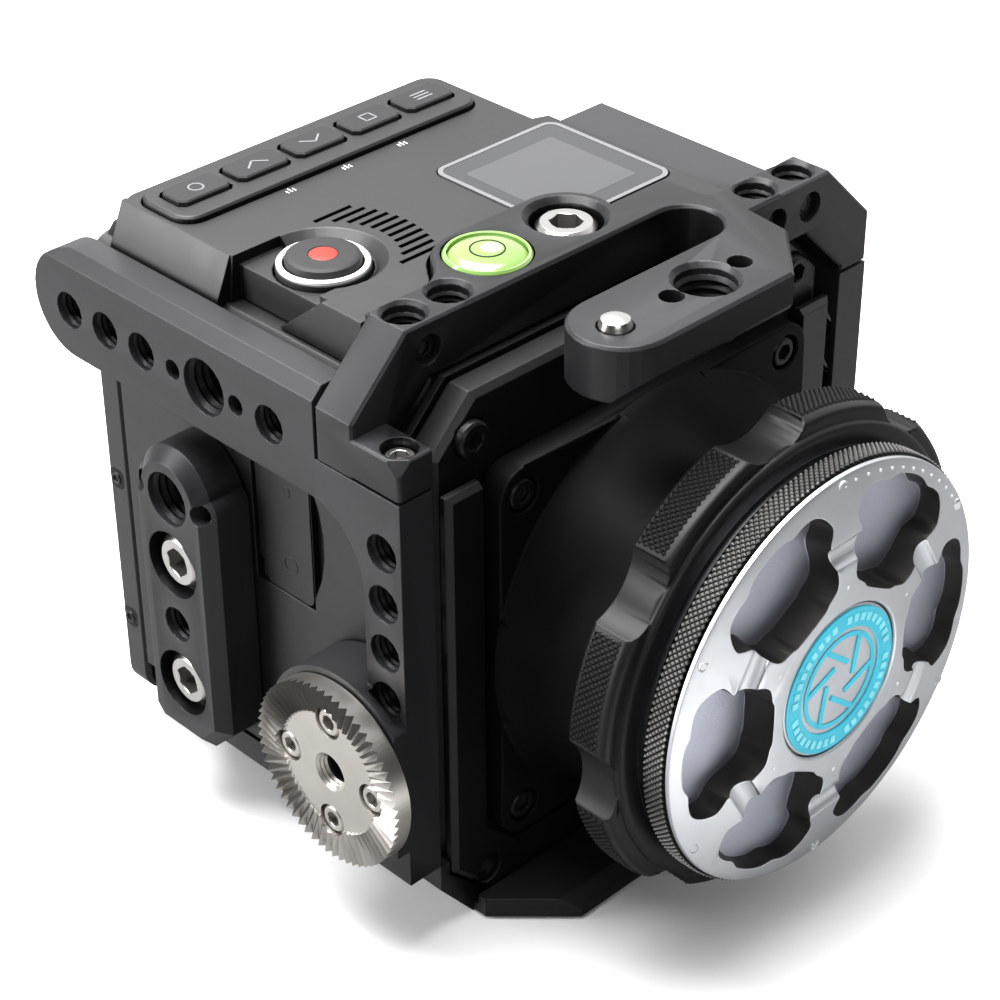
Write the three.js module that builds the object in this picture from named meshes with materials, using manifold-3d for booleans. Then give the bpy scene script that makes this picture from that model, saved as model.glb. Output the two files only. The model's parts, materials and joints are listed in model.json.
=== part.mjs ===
// A caged cinema camera: a cube-shaped camera body in a screwed cage, with a lens-mount adapter,
// its lock ring and a metal body cap. Units are millimetres, +Z is up and the lens looks along -Y.
// The origin is on the underside of the base plate, below the lens axis, in the cage's front plane.
import * as THREE from "three";
import { mergeVertices } from "three/addons/utils/BufferGeometryUtils.js";
import Module from "manifold-3d";

const wasm = await Module();
wasm.setup();

// ---------------------------------------------------------------- driving dimensions
const GAP = 0.3; // air between two pieces that touch

// Cage
const HALF = 52.2; // half of the cage's width
const WALL = 6.5; // thickness of the side pieces
const POST = 8.4; // depth of the front posts along Y
const SEAM = 85; // height of the joint between the side pieces and the top plate
const TOP = 105.2; // upper face of the top plate
const PLATE = 9.4; // thickness of the top plate
const SLOPE = 11; // 45 degree corners of the top plate
const LOWER_SEAM = 14; // lower end of the left side piece
const STEP = 9.8; // how far the top plate's front stands behind the posts

// Lens
const LENS = 48.2; // height of the lens axis
const THROAT = 27.2; // bore of the mount
const NECK_END = -28.9; // seat face of the mount

// Body
const BODY = 45.2; // half of the body's width
const BODY_REAR = 75.6; // joint between the main shell and the rear cover
const REAR = 81.5; // back face of the rear cover
const SHOULDER = 95.5; // upper face of the main shell
const DECK = 103.3; // upper face of the control deck

// Fasteners and threaded holes
const QUARTER = 3.2; // radius of a 1/4-20 hole
const THREE_EIGHTHS = 4.8; // radius of a 3/8-16 hole
const PIN_SPAN = 7.5; // locating pin to the centre of its 3/8-16 hole

// ---------------------------------------------------------------- materials
function paint(color, roughness, metalness) {
  return new THREE.MeshStandardMaterial({ color, roughness, metalness });
}
const anodised = paint(0x2b2c2e, 0.42, 0.7);
const bodyBlack = paint(0x1d1e20, 0.6, 0.1);
const steel = paint(0x9c9893, 0.38, 1);
const silver = paint(0xd0cfca, 0.25, 1);
const capGrey = paint(0x83878c, 0.36, 0.9);
const rubber = paint(0x18181a, 0.8, 0);
const glass = paint(0x2c3a40, 0.08, 0);
const liquid = paint(0xa7f070, 0.1, 0);
const blue = paint(0x2fb6cf, 0.35, 0.1);
const white = paint(0xe8e8e6, 0.4, 0);
const circuit = paint(0x1f5a3a, 0.6, 0);
const aluminium = paint(0xb0b3b6, 0.4, 0.9);

// ---------------------------------------------------------------- solids
// A closed geometry as a manifold solid.
function solid(geometry) {
  const bare = geometry.index ? geometry.toNonIndexed() : geometry.clone();
  bare.deleteAttribute("normal");
  bare.deleteAttribute("uv");
  const merged = mergeVertices(bare, 1e-4);
  return new wasm.Manifold(
    new wasm.Mesh({
      numProp: 3,
      vertProperties: new Float32Array(merged.attributes.position.array),
      triVerts: new Uint32Array(merged.index.array),
    }),
  );
}

// A manifold solid as a named mesh.
function piece(name, body, material) {
  const data = body.getMesh();
  const geometry = new THREE.BufferGeometry();
  geometry.setAttribute("position", new THREE.BufferAttribute(data.vertProperties, 3));
  geometry.setIndex(new THREE.BufferAttribute(data.triVerts, 1));
  geometry.computeVertexNormals();
  const mesh = new THREE.Mesh(geometry, material);
  mesh.name = name;
  return mesh;
}

function union(...bodies) {
  return bodies.reduce((a, b) => a.add(b));
}

function cut(body, ...tools) {
  return tools.reduce((a, b) => a.subtract(b), body);
}

// Frames that carry a drawing and its extrusion direction into the part's axes.
const ALONG = {
  x: new THREE.Matrix4().makeBasis(
    new THREE.Vector3(0, 1, 0),
    new THREE.Vector3(0, 0, 1),
    new THREE.Vector3(1, 0, 0),
  ),
  y: new THREE.Matrix4().makeBasis(
    new THREE.Vector3(1, 0, 0),
    new THREE.Vector3(0, 0, 1),
    new THREE.Vector3(0, -1, 0),
  ),
  z: new THREE.Matrix4(),
};

// A drawing extruded between two positions of one axis. A drawing for x is in (y, z), for y in
// (x, z) and for z in (x, y). The chamfer runs round both ends.
function slab(axis, outline, from, to, chamfer = 0, segments = 12) {
  const low = Math.min(from, to);
  const high = Math.max(from, to);
  const geometry = new THREE.ExtrudeGeometry(outline, {
    depth: high - low - 2 * chamfer,
    bevelEnabled: chamfer > 0,
    bevelThickness: chamfer,
    bevelSize: chamfer,
    bevelOffset: -chamfer,
    bevelSegments: 1,
    curveSegments: segments,
  });
  geometry.translate(0, 0, chamfer);
  geometry.applyMatrix4(ALONG[axis]);
  const start = axis === "y" ? high : low;
  const shift = new THREE.Vector3().setComponent("xyz".indexOf(axis), start);
  geometry.translate(shift.x, shift.y, shift.z);
  return solid(geometry);
}

function shape(points) {
  return new THREE.Shape(points.map(([a, b]) => new THREE.Vector2(a, b)));
}

// A rectangle with rounded corners.
function roundedBox(a0, b0, a1, b1, radius) {
  const s = new THREE.Shape();
  s.moveTo(a0 + radius, b0);
  s.lineTo(a1 - radius, b0);
  s.absarc(a1 - radius, b0 + radius, radius, -Math.PI / 2, 0);
  s.lineTo(a1, b1 - radius);
  s.absarc(a1 - radius, b1 - radius, radius, 0, Math.PI / 2);
  s.lineTo(a0 + radius, b1);
  s.absarc(a0 + radius, b1 - radius, radius, Math.PI / 2, Math.PI);
  s.lineTo(a0, b0 + radius);
  s.absarc(a0 + radius, b0 + radius, radius, Math.PI, 1.5 * Math.PI);
  return s;
}

// A rectangle with its four corners cut at 45 degrees.
function cutBox(a0, b0, a1, b1, corner) {
  return shape([
    [a0 + corner, b0],
    [a1 - corner, b0],
    [a1, b0 + corner],
    [a1, b1 - corner],
    [a1 - corner, b1],
    [a0 + corner, b1],
    [a0, b1 - corner],
    [a0, b0 + corner],
  ]);
}

function box(x0, y0, z0, x1, y1, z1) {
  const geometry = new THREE.BoxGeometry(x1 - x0, y1 - y0, z1 - z0);
  geometry.translate((x0 + x1) / 2, (y0 + y1) / 2, (z0 + z1) / 2);
  return solid(geometry);
}

// A round bar, or a cone when the second radius differs, along one axis from one position to another.
function rod(axis, [x, y, z], from, to, radius, segments = 14, endRadius = radius) {
  const geometry = new THREE.CylinderGeometry(endRadius, radius, Math.abs(to - from), segments);
  geometry.rotateX(Math.PI / 2); // its length now runs along Z, with the end radius up
  if (to < from) geometry.rotateX(Math.PI);
  if (axis === "x") geometry.rotateY(Math.PI / 2);
  if (axis === "y") geometry.rotateX(-Math.PI / 2);
  const middle = (from + to) / 2;
  const place = { x: [middle, y, z], y: [x, middle, z], z: [x, y, middle] }[axis];
  geometry.translate(...place);
  return solid(geometry);
}

// A turned piece round the lens axis. The profile holds [radius, y] pairs.
function turned(profile, segments) {
  const points = profile.map(([r, y]) => new THREE.Vector2(r, y));
  const geometry = new THREE.LatheGeometry(points, segments);
  geometry.translate(0, 0, LENS);
  return solidFacingOut(geometry);
}

// A closed geometry whose faces may all point inwards, as a solid with them pointing out.
function solidFacingOut(geometry) {
  const flat = geometry.index ? geometry.toNonIndexed() : geometry;
  const made = solid(flat);
  if (made.volume() > 0) return made;
  const p = flat.attributes.position.array;
  for (let i = 0; i < p.length; i += 9)
    for (let k = 0; k < 3; k++) [p[i + k], p[i + 6 + k]] = [p[i + 6 + k], p[i + k]];
  return solid(flat);
}

// A cap screw or button-head screw along an axis: the head's outer face is at `face`, the shank runs
// `length` further in the direction `inward` (+1 or -1), and the head has a hexagon socket.
function screw(axis, centre, face, inward, headRadius, headHeight, shankRadius, length) {
  const under = face + inward * headHeight;
  const socket = headRadius * 0.52;
  const depth = headHeight * 0.6;
  return cut(
    union(
      rod(axis, centre, face, under, headRadius, 12),
      rod(axis, centre, under - inward * 0.2, under + inward * length, shankRadius, 6),
    ),
    rod(axis, centre, face - inward * 0.5, face + inward * depth, socket, 6),
  );
}

// ---------------------------------------------------------------- cage: top plate
const ARM_BACK = -1.4;
const ARM_FRONT = -17.8;
const ARM_TIP = [-17.1, (ARM_BACK + ARM_FRONT) / 2];
const ARM_PIN = [-18.8, -10];
const ARM_BOLT = [0.8, -9.8];
const FIXING = [0.8, 18.9]; // large screw that holds the plate to the camera
const LEVEL = [-16.3, 18.7]; // bubble level
const LOBE_END = THREE.MathUtils.degToRad(150); // where the level's lobe runs into its left fillet
const LEFT_HOLES = [-37.4, -28.5];
const LEFT_HOLE_Y = 14.4;
const RIGHT_HOLES = [28.3, 37.3];
const RIGHT_HOLE_Y = 4.6;
const FRONT_HOLE_Z = SEAM + 15.5;
const SLOT_END = 12.2;
const CORNER_SCREW = [-48.6, 3.6]; // small screw that ties the plate corner to the side piece
const UNDER = TOP - PLATE;

// Plan of the plate with its arm, which returns to the left in front of a slot.
function topPlan() {
  const tip = (ARM_BACK - ARM_FRONT) / 2;
  const slot = (STEP - ARM_BACK) / 2;
  const flat = HALF - SLOPE;
  const s = new THREE.Shape();
  s.moveTo(-flat, STEP);
  s.lineTo(SLOT_END, STEP);
  s.absarc(SLOT_END, STEP - slot, slot, Math.PI / 2, -Math.PI / 2, true);
  s.lineTo(ARM_TIP[0], ARM_BACK);
  s.absarc(ARM_TIP[0], ARM_TIP[1], tip, Math.PI / 2, 1.5 * Math.PI);
  s.lineTo(11.4, ARM_FRONT);
  s.lineTo(21.4, -8);
  s.lineTo(22.4, 0);
  s.lineTo(flat, 0);
  s.lineTo(flat, 8);
  s.lineTo(23.5, 8.2);
  s.quadraticCurveTo(21.3, 8.2, 21.3, 10.2);
  s.lineTo(21.3, 16);
  s.lineTo(20.4, 17);
  s.absarc(FIXING[0], FIXING[1], 8.4, -0.23, Math.PI / 2);
  s.lineTo(LEVEL[0], FIXING[1] + 8.4);
  s.absarc(LEVEL[0], LEVEL[1], 8.6, Math.PI / 2, LOBE_END);
  s.quadraticCurveTo(-26.6, 18.4, -30.6, 18.4);
  s.lineTo(-flat, 18.4);
  return s;
}

// Front view of a sloped shoulder: the plate's end turned down at 45 degrees to the side piece.
function shoulder(side) {
  const inner = HALF - WALL;
  const points = [
    [HALF - SLOPE - 12, TOP],
    [HALF - SLOPE - 12, UNDER],
    [inner - SLOPE + 1.6, UNDER],
    [inner, SEAM + 1.4],
    [inner, SEAM + GAP],
    [HALF, SEAM + GAP],
    [HALF, TOP - SLOPE],
    [HALF - SLOPE, TOP],
  ].map(([x, z]) => [side * x, z]);
  return shape(side > 0 ? points : points.reverse());
}

function topPlate() {
  const ledge = SEAM + 6.8;
  const plate = slab("z", topPlan(), UNDER, TOP, 0.5, 7);
  const left = slab("y", shoulder(-1), STEP, 17.8, 0.4);
  const right = slab("y", shoulder(1), 0, 8, 0.4);
  const cornerPlan = roundedBox(-HALF, 0, -HALF + 7, 17.4, 0.8);
  const corner = slab("z", cornerPlan, SEAM + GAP, ledge, 0.3, 3);
  const underChamfer = slab(
    "x",
    shape([
      [ARM_FRONT - 3, UNDER - 3],
      [ARM_FRONT + 4.1, UNDER - 3],
      [ARM_FRONT + 4.1, UNDER],
      [ARM_FRONT, UNDER + 4.1],
      [ARM_FRONT - 3, UNDER + 4.1],
    ]),
    -40,
    40,
  );
  const holes = [
    ...[...LEFT_HOLES.map((x) => [x, LEFT_HOLE_Y]), ...RIGHT_HOLES.map((x) => [x, RIGHT_HOLE_Y])].flatMap(
      ([x, y]) => [
        rod("z", [x, y, 0], UNDER - 8, TOP + 1, QUARTER),
        rod("z", [x, y, 0], TOP - 0.7, TOP + 0.3, QUARTER, 14, QUARTER + 1),
      ],
    ),
    rod("z", [...ARM_BOLT, 0], UNDER - 1, TOP + 1, THREE_EIGHTHS, 20),
    rod("z", [...ARM_BOLT, 0], TOP - 0.8, TOP + 0.2, THREE_EIGHTHS, 20, THREE_EIGHTHS + 1),
    ...[-1, 1].map((k) => rod("z", [ARM_BOLT[0] + k * PIN_SPAN, ARM_BOLT[1], 0], UNDER - 1, TOP + 1, 2, 12)),
    rod("z", [...ARM_PIN, 0], UNDER - 1, TOP + 1, 2.95),
    rod("z", [...FIXING, 0], UNDER - 1, TOP + 1, QUARTER + GAP),
    rod("z", [...FIXING, 0], TOP - 5, TOP + 1, 5.9, 20),
    rod("z", [...FIXING, 0], TOP - 1.4, TOP + 0.6, 5.4, 20, 7.6),
    rod("z", [...LEVEL, 0], TOP - 5, TOP + 1, 6.9 + GAP, 24),
    rod("y", [-36.8, 0, FRONT_HOLE_Z], STEP - 1, STEP + 5, 2.5),
    ...[28.4, 36.7].map((x) => rod("y", [x, 0, FRONT_HOLE_Z], -1, 7.2, 2.6)),
    rod("z", [...CORNER_SCREW, 0], SEAM - 1, ledge + 1, 1.6, 10),
    rod("z", [...CORNER_SCREW, 0], ledge - 3, ledge + 3, 2.9),
    rod("z", [-CORNER_SCREW[0], CORNER_SCREW[1], 0], SEAM - 1, SEAM + 3.5, 1.6, 10),
    rod("z", [-HALF, 0, 0], ledge - 2.4, ledge + 0.4, 0.05, 4, 3.1), // V notch at the corner below the screw
  ];
  return piece("cage_top_plate", cut(union(plate, left, right, corner), underChamfer, ...holes), anodised);
}

// ---------------------------------------------------------------- cage: sides

const BAR = { bottom: SEAM - 6.85, top: SEAM + 11.7, hole: SEAM + 1.4, rear: 86.2 };
const BAR_HOLES = [77.3, 68.1, 58.9, 28.4];
const BAR_BOLT = 43.6;
const POST_HOLES = [-10, -19, -27.9, -36.7];
const POST_HOLE_Y = 4.15;
const ROSETTE = { y: 12.2, z: SEAM - 52.2, radius: 15.875 };
const BOSS = 17;
const ARC = 12;

// Side view of the left piece: a bar along the top and a post down the front, joined by an arc.
function sideOutline() {
  const radius = (BAR.top - BAR.bottom) / 2;
  const s = new THREE.Shape();
  s.moveTo(0, LOWER_SEAM);
  s.lineTo(POST, LOWER_SEAM);
  s.lineTo(POST, BAR.bottom - ARC);
  s.absarc(POST + ARC, BAR.bottom - ARC, ARC, Math.PI, Math.PI / 2, true);
  s.lineTo(BAR.rear - radius, BAR.bottom);
  s.absarc(BAR.rear - radius, BAR.bottom + radius, radius, -Math.PI / 2, Math.PI / 2);
  s.lineTo(18.2, BAR.top);
  s.lineTo(18.2, SEAM);
  s.lineTo(0, SEAM);
  return s;
}

function leftSide() {
  const outer = -HALF;
  const inner = -HALF + WALL;
  const frame = slab("x", sideOutline(), outer, inner, 0, 9);
  const boss = rod("x", [0, ROSETTE.y, ROSETTE.z], outer - 2.5, inner, BOSS, 48);
  const body = cut(
    union(frame, boss),
    box(outer - 5, -10, 0, inner + 5, 0, SEAM), // the boss is flat in the front plane
    slab( // chamfer along the bar's upper outer edge
      "y",
      shape([
        [outer - 1, BAR.top - 2 - 1],
        [outer + 3, BAR.top + 1],
        [outer - 1, BAR.top + 1],
      ]),
      18,
      BAR.rear + 1,
    ),
    ...BAR_HOLES.map((y) => rod("x", [0, y, BAR.hole], outer - 1, inner + 1, QUARTER)),
    ...POST_HOLES.map((z) => rod("x", [0, POST_HOLE_Y, SEAM + z], outer - 1, inner + 1, QUARTER)),
    rod("x", [0, BAR_BOLT, BAR.hole], outer - 1, inner + 1, THREE_EIGHTHS, 20),
    ...[-1, 1].map((k) => rod("x", [0, BAR_BOLT + k * PIN_SPAN, BAR.hole], outer - 1, inner + 1, 1.7, 12)),
    rod("x", [0, ROSETTE.y, ROSETTE.z], outer - 4, inner + 1, 3.3),
    ...rosetteHoles().map(([y, z]) => rod("x", [0, y, z], outer - 4, outer + 4, 1.3, 10)),
    rod("z", [...CORNER_SCREW, 0], SEAM - 8, SEAM + 1, 1.6, 10),
  );
  return piece("cage_left_side", body, anodised);
}

function rightSide() {
  const post = box(HALF - WALL, 0, LOWER_SEAM, HALF, POST, SEAM);
  const flange = slab(
    "y",
    shape([
      [34, SHOULDER + GAP],
      [HALF - WALL + 0.2, SHOULDER + GAP],
      [HALF - WALL + 0.2, 76],
      [HALF, 76],
      [HALF, 92.2],
      [HALF - 4.5, 96.7],
      [34, 96.7],
    ]),
    9,
    56,
  );
  const web = box(HALF - WALL, POST - 1, 76, HALF, 12, SEAM);
  const lower = box(HALF - WALL, POST - 1, LOWER_SEAM, HALF, 56, 30);
  const upright = box(HALF - WALL, 46, 28, HALF, 56, 78);
  const body = cut(
    union(post, flange, web, lower, upright),
    ...POST_HOLES.map((z) => rod("x", [0, POST_HOLE_Y, SEAM + z], HALF - WALL - 1, HALF + 1, QUARTER)),
    ...[0, 1, 2].map((k) => rod("x", [0, 51, 40 + 12 * k], HALF - WALL - 1, HALF + 1, QUARTER)),
    ...[0, 1, 2].map((k) => rod("x", [0, 20 + 10 * k, 22], HALF - WALL - 1, HALF + 1, QUARTER)),
    rod("z", [-CORNER_SCREW[0], CORNER_SCREW[1], 0], SEAM - 8, SEAM + 1, 1.6, 10),
    box(34, 20, 90, 36.5, 28, 100),
  );
  return piece("cage_right_side", body, anodised);
}

// ---------------------------------------------------------------- cage: base plate
const BASE_REAR = 62;
const BASE_BOLTS = [16, 42];

// Front view of the base plate: a shallow tray whose flanges stand inside the side pieces.
function baseBand() {
  const low = 38.6;
  const inner = HALF - WALL - GAP;
  return shape([
    [-low, 0],
    [low, 0],
    [inner, 8.4],
    [inner, LOWER_SEAM - 0.6],
    [inner - 4.8, LOWER_SEAM - 0.6],
    [inner - 4.8, 8.6],
    [inner - 9.6, 2.7],
    [-inner + 9.6, 2.7],
    [-inner + 4.8, 8.6],
    [-inner + 4.8, LOWER_SEAM - 0.6],
    [-inner, LOWER_SEAM - 0.6],
    [-inner, 8.4],
  ]);
}

// Plan of the tongue that stands out in front, from its square tip to a position behind the front plane.
function tonguePlan(rear) {
  return shape([
    [-38.6, rear],
    [-38.6, -2.6],
    [-27.6, -13.6],
    [27.6, -13.6],
    [38.6, -2.6],
    [38.6, rear],
  ]);
}

function basePlate() {
  const body = cut(
    union(
      slab("y", baseBand(), 0.4, BASE_REAR),
      slab("z", tonguePlan(12), 0, 2.7, 0.6),
      slab("z", tonguePlan(-1), 0.6, 4.2),
    ),
    slab("y", cutBox(-43.5, 2.7, 43.5, 30, 8), -0.9, 8.6),
    slab( // long chamfer on the tongue's upper front edge
      "x",
      shape([
        [-15, 2],
        [-13.6, 2],
        [-11, 4.2],
        [-11, 5],
        [-15, 5],
      ]),
      -30,
      30,
    ),
    ...BASE_BOLTS.map((y) => rod("z", [0, y, 0], -1, 4, THREE_EIGHTHS, 20)),
    ...[-16, 16].flatMap((x) => BASE_BOLTS.map((y) => rod("z", [x, y, 0], -1, 4, QUARTER))),
  );
  return piece("cage_base_plate", body, anodised);
}

// ---------------------------------------------------------------- rosette
const ROSETTE_FACE = -HALF - 2.5 - GAP;
const ROSETTE_BASE = 2.4;
const TOOTH = 1.2;

function rosetteHoles() {
  return [0, 1, 2, 3].map((k) => {
    const a = (k * Math.PI) / 2;
    return [ROSETTE.y + 9.5 * Math.cos(a), ROSETTE.z + 9.5 * Math.sin(a)];
  });
}

// The toothed ring has 60 radial V teeth.
function rosette() {
  const teeth = 60;
  const outer = ROSETTE.radius;
  const inner = 10.6;
  const face = ROSETTE_FACE - ROSETTE_BASE;
  const positions = [];
  const at = (r, a, x) => [x, ROSETTE.y + r * Math.cos(a), ROSETTE.z + r * Math.sin(a)];
  const back = ROSETTE_FACE;
  const [hub, hole] = [[face, ROSETTE.y, ROSETTE.z], [back, ROSETTE.y, ROSETTE.z]];
  const tri = (...p) => positions.push(...p.flat());
  for (let i = 0; i < 2 * teeth; i++) {
    const a = (i * Math.PI) / teeth;
    const b = ((i + 1) * Math.PI) / teeth;
    const tip = (k) => face - (k % 2 ? TOOTH : 0.1);
    const [oa, ob] = [at(outer, a, tip(i)), at(outer, b, tip(i + 1))];
    const [ia, ib] = [at(inner, a, face), at(inner, b, face)];
    const [ba, bb] = [at(outer, a, back), at(outer, b, back)];
    tri(ia, oa, ob);
    tri(ia, ob, ib);
    tri(oa, ba, bb);
    tri(oa, bb, ob);
    tri(hub, ia, ib);
    tri(hole, bb, ba);
  }
  const geometry = new THREE.BufferGeometry();
  geometry.setAttribute("position", new THREE.BufferAttribute(new Float32Array(positions), 3));
  const body = cut(
    solidFacingOut(geometry),
    rod("x", [0, ROSETTE.y, ROSETTE.z], face - 2, back + 1, 2.9),
    ...rosetteHoles().flatMap(([y, z]) => [
      rod("x", [0, y, z], face - 2, back + 1, 1.5, 10),
      rod("x", [0, y, z], face - 2, back - 0.9, 2.7, 16),
    ]),
  );
  return piece("rosette", body, steel);
}

function rosetteScrews() {
  return rosetteHoles().map(([y, z], i) =>
    piece(
      "rosette_screw_" + (i + 1),
      screw("x", [0, y, z], ROSETTE_FACE - ROSETTE_BASE + 0.15, 1, 2.4, 1.1, 1, 5),
      steel,
    ),
  );
}

// ---------------------------------------------------------------- side bracket
const BRACKET = { x: -54.2, y: 52.9, half: 9.8, low: SEAM - 70.5, head: SEAM - 22.3, headRadius: 8.7 };
const BRACKET_SCREWS = [-34.9, -58.6];

function sideBracket() {
  const { x, y, half, low, head, headRadius } = BRACKET;
  const shoulder = head + 2.8;
  const s = new THREE.Shape();
  s.moveTo(y - half, low + 5);
  s.lineTo(y - half + 5, low);
  s.lineTo(y + half - 3, low);
  s.lineTo(y + half, low + 3);
  s.absarc(y + half - 3, shoulder - 3, 3, 0, Math.PI / 2);
  s.absarc(y - half + 3, shoulder - 3, 3, Math.PI / 2, Math.PI);
  const round = new THREE.Shape();
  round.absarc(y, head, headRadius, 0, 2 * Math.PI);
  const bolt = head;
  const back = -BODY - GAP;
  const body = cut(
    union(
      slab("x", s, x, x + 5, 2.2, 5),
      slab("x", s, x + 2.2, back, 0, 5),
      slab("x", round, x, x + 5, 2.2, 20),
      slab("x", round, x + 2.2, back, 0, 20),
    ),
    rod("x", [0, y, bolt], x - 1, back + 1, THREE_EIGHTHS, 20),
    ...[-1, 1].map((k) => rod("x", [0, y + k * PIN_SPAN, bolt], x - 1, back + 1, 1.7, 12)),
    rod("x", [0, y, SEAM - 46.7], x - 1, back + 1, QUARTER),
    ...BRACKET_SCREWS.flatMap((z) => [
      rod("x", [0, y, SEAM + z], x - 1, back + 1, 2.6),
      rod("x", [0, y, SEAM + z], x - 1, x + 3.2, 6, 24),
    ]),
  );
  return piece("side_bracket", body, anodised);
}

function bracketScrews() {
  const names = ["bracket_screw_upper", "bracket_screw_lower"];
  return BRACKET_SCREWS.map((z, i) =>
    piece(
      names[i],
      screw("x", [0, BRACKET.y, SEAM + z], BRACKET.x + 0.9, 1, 4.7, 2.2, 2.2, 7.4),
      silver,
    ),
  );
}

// ---------------------------------------------------------------- top plate fittings
function topFittings() {
  const [lx, ly] = LEVEL;
  const cup = cut(
    rod("z", [lx, ly, 0], TOP - 4.6, TOP + 0.4, 6.9, 24),
    rod("z", [lx, ly, 0], TOP - 3.4, TOP + 1, 6.2, 24),
  );
  const vial = new THREE.LatheGeometry(
    [
      [0, 0],
      [5.8, 0],
      [5.8, 2.9],
      [4.2, 3.5],
      [2, 3.9],
      [0, 4],
    ].map(([r, z]) => new THREE.Vector2(r, z)),
    24,
  );
  vial.rotateX(Math.PI / 2);
  vial.translate(lx, ly, TOP - 3.1);
  return [
    piece("level_cup", cup, aluminium),
    piece("level_vial", solidFacingOut(vial), liquid),
    piece("top_fixing_screw", screw("z", [...FIXING, 0], TOP - 0.9, -1, 4.9, 3.6, 3, 11), silver),
    piece("corner_screw", screw("z", [...CORNER_SCREW, 0], SEAM + 5.6, -1, 2.5, 1.6, 1.25, 9.5), silver),
    piece("plate_screw_left", frontScrew(-36.8, STEP + 0.9), anodised),
    piece("plate_screw_right", frontScrew(36.7, 1.2), anodised),
  ];
}

function frontScrew(x, face) {
  return screw("y", [x, 0, FRONT_HOLE_Z], face, 1, 2.2, 1.6, 1.2, 1.8);
}

function armPin() {
  const profile = [
    [0, 2.6],
    [2.1, 2.6],
    [2.1, 7.6],
    [2.6, 7.6],
    [2.6, 10.6],
    [2.2, 11.6],
    [1.2, 12.1],
    [0, 12.2],
  ].map(([r, z]) => new THREE.Vector2(r, z));
  const geometry = new THREE.LatheGeometry(profile, 16);
  geometry.rotateX(Math.PI / 2);
  geometry.translate(...ARM_PIN, UNDER - 1);
  return piece("arm_pin", solidFacingOut(geometry), silver);
}

// ---------------------------------------------------------------- camera body shells
const SHELL = 2.2; // wall thickness of the main shell
const DOOR = { front: 28.6, rear: 40.2, low: 49.2, high: 75.6 };
const DOOR_AXIS = { x: -BODY + 1, y: 41.2 };
const CARD_Z = 62.4; // middle height of the memory card

// Front view of the main shell: a block with its lower corners cut and stepped clear of the base plate.
function shellOutline(inset) {
  const half = BODY - inset;
  const foot = 40.2 - inset;
  return shape([
    [-foot + 5, 3 + inset],
    [foot - 5, 3 + inset],
    [foot, 9 + inset],
    [foot, LOWER_SEAM + inset],
    [half, LOWER_SEAM + inset],
    [half, SHOULDER - 2 - inset],
    [half - 2, SHOULDER - inset],
    [-half + 2, SHOULDER - inset],
    [-half, SHOULDER - 2 - inset],
    [-half, LOWER_SEAM + inset],
    [-foot, LOWER_SEAM + inset],
    [-foot, 9 + inset],
  ]);
}

// The finger scoop in front of the media door: an upright lens shape.
function scoop() {
  const s = new THREE.Shape();
  s.moveTo(28.2, 51.4);
  s.quadraticCurveTo(22.8, 62.3, 28.2, 73);
  return s;
}

// A tool that cuts an upper long edge of the body at 45 degrees between two positions along Y.
function edgeCut(side, from, to, inset = 0) {
  const points = [
    [34.3 - inset, 95.9],
    [46, 84.2 - inset],
    [46, 95.9],
  ].map(([x, z]) => [side * x, z]);
  return slab("y", shape(side < 0 ? points.reverse() : points), from, to);
}

// The hollow of the main shell keeps its wall behind the cut edges.
function shellHollow() {
  const inset = SHELL * Math.SQRT2;
  return cut(
    slab("y", shellOutline(SHELL), 8.8 + SHELL, BODY_REAR + 1),
    edgeCut(-1, 8, 18.4 + SHELL, inset),
    edgeCut(1, 8, REAR + 1, inset),
  );
}

function mainShell() {
  const { front, rear, low, high } = DOOR;
  const body = cut(
    slab("y", shellOutline(0), 8.8, BODY_REAR - GAP),
    shellHollow(),
    rod("y", [0, 0, LENS], 8, 12, 24, 28),
    box(-BODY - 1, front - GAP, low - GAP, -BODY + SHELL + 1, rear + 2.2, high + GAP),
    slab("x", scoop(), -BODY - 1, -BODY + 1.4, 0, 5),
    rod("z", [DOOR_AXIS.x, DOOR_AXIS.y, 0], low - 1.9, high + 1.9, 0.65, 10),
    ...BRACKET_SCREWS.map((z) => rod("x", [0, BRACKET.y, SEAM + z], -BODY - 1, -BODY + 4, 2.6, 12)),
    edgeCut(-1, 8, 18.4), // clears the sloped corner of the top plate
    edgeCut(1, 8, REAR + 1),
    rod("z", [...FIXING, 0], SHOULDER - 4, SHOULDER + 1, 3.4),
    ...BASE_BOLTS.map((y) => rod("z", [0, y, 0], 2, 6, 2.6)),
    box(BODY - 4, 62, 20, BODY + 1, 72, 60), // exhaust opening on the right
    box(-6, 30, SHOULDER - 4, 6, 44, SHOULDER + 1), // cable opening under the deck
  );
  return piece("main_shell", body, bodyBlack);
}

function rearCover() {
  const outline = roundedBox(-BODY, 6, BODY, SHOULDER, 5);
  const crest = shape([
    [BODY_REAR, 92],
    [REAR - 0.8, 92],
    [REAR - 0.8, 94.2],
    [77.8, 98.4],
    [BODY_REAR, 98.4],
  ]);
  const body = cut(
    union(slab("y", outline, BODY_REAR, REAR, 0.8, 3), slab("x", crest, -41.7, 20)),
    box(-31, REAR - 2.4, 18, 31, REAR + 1, 84), // seat of the battery plate
    ...[28, 75].flatMap((z) => [-41, 41].map((x) => rod("y", [x, 0, z], REAR - 1.6, REAR + 1, 1.9, 10))),
    ...[14, 21, 28].map((x) => rod("y", [x, 0, 90], REAR - 3, REAR + 1, 2.3)),
    rod("y", [-20, 0, 90], REAR - 3, REAR + 1, 3),
    edgeCut(1, BODY_REAR - 1, REAR + 1),
  );
  return piece("rear_cover", body, bodyBlack);
}

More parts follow.
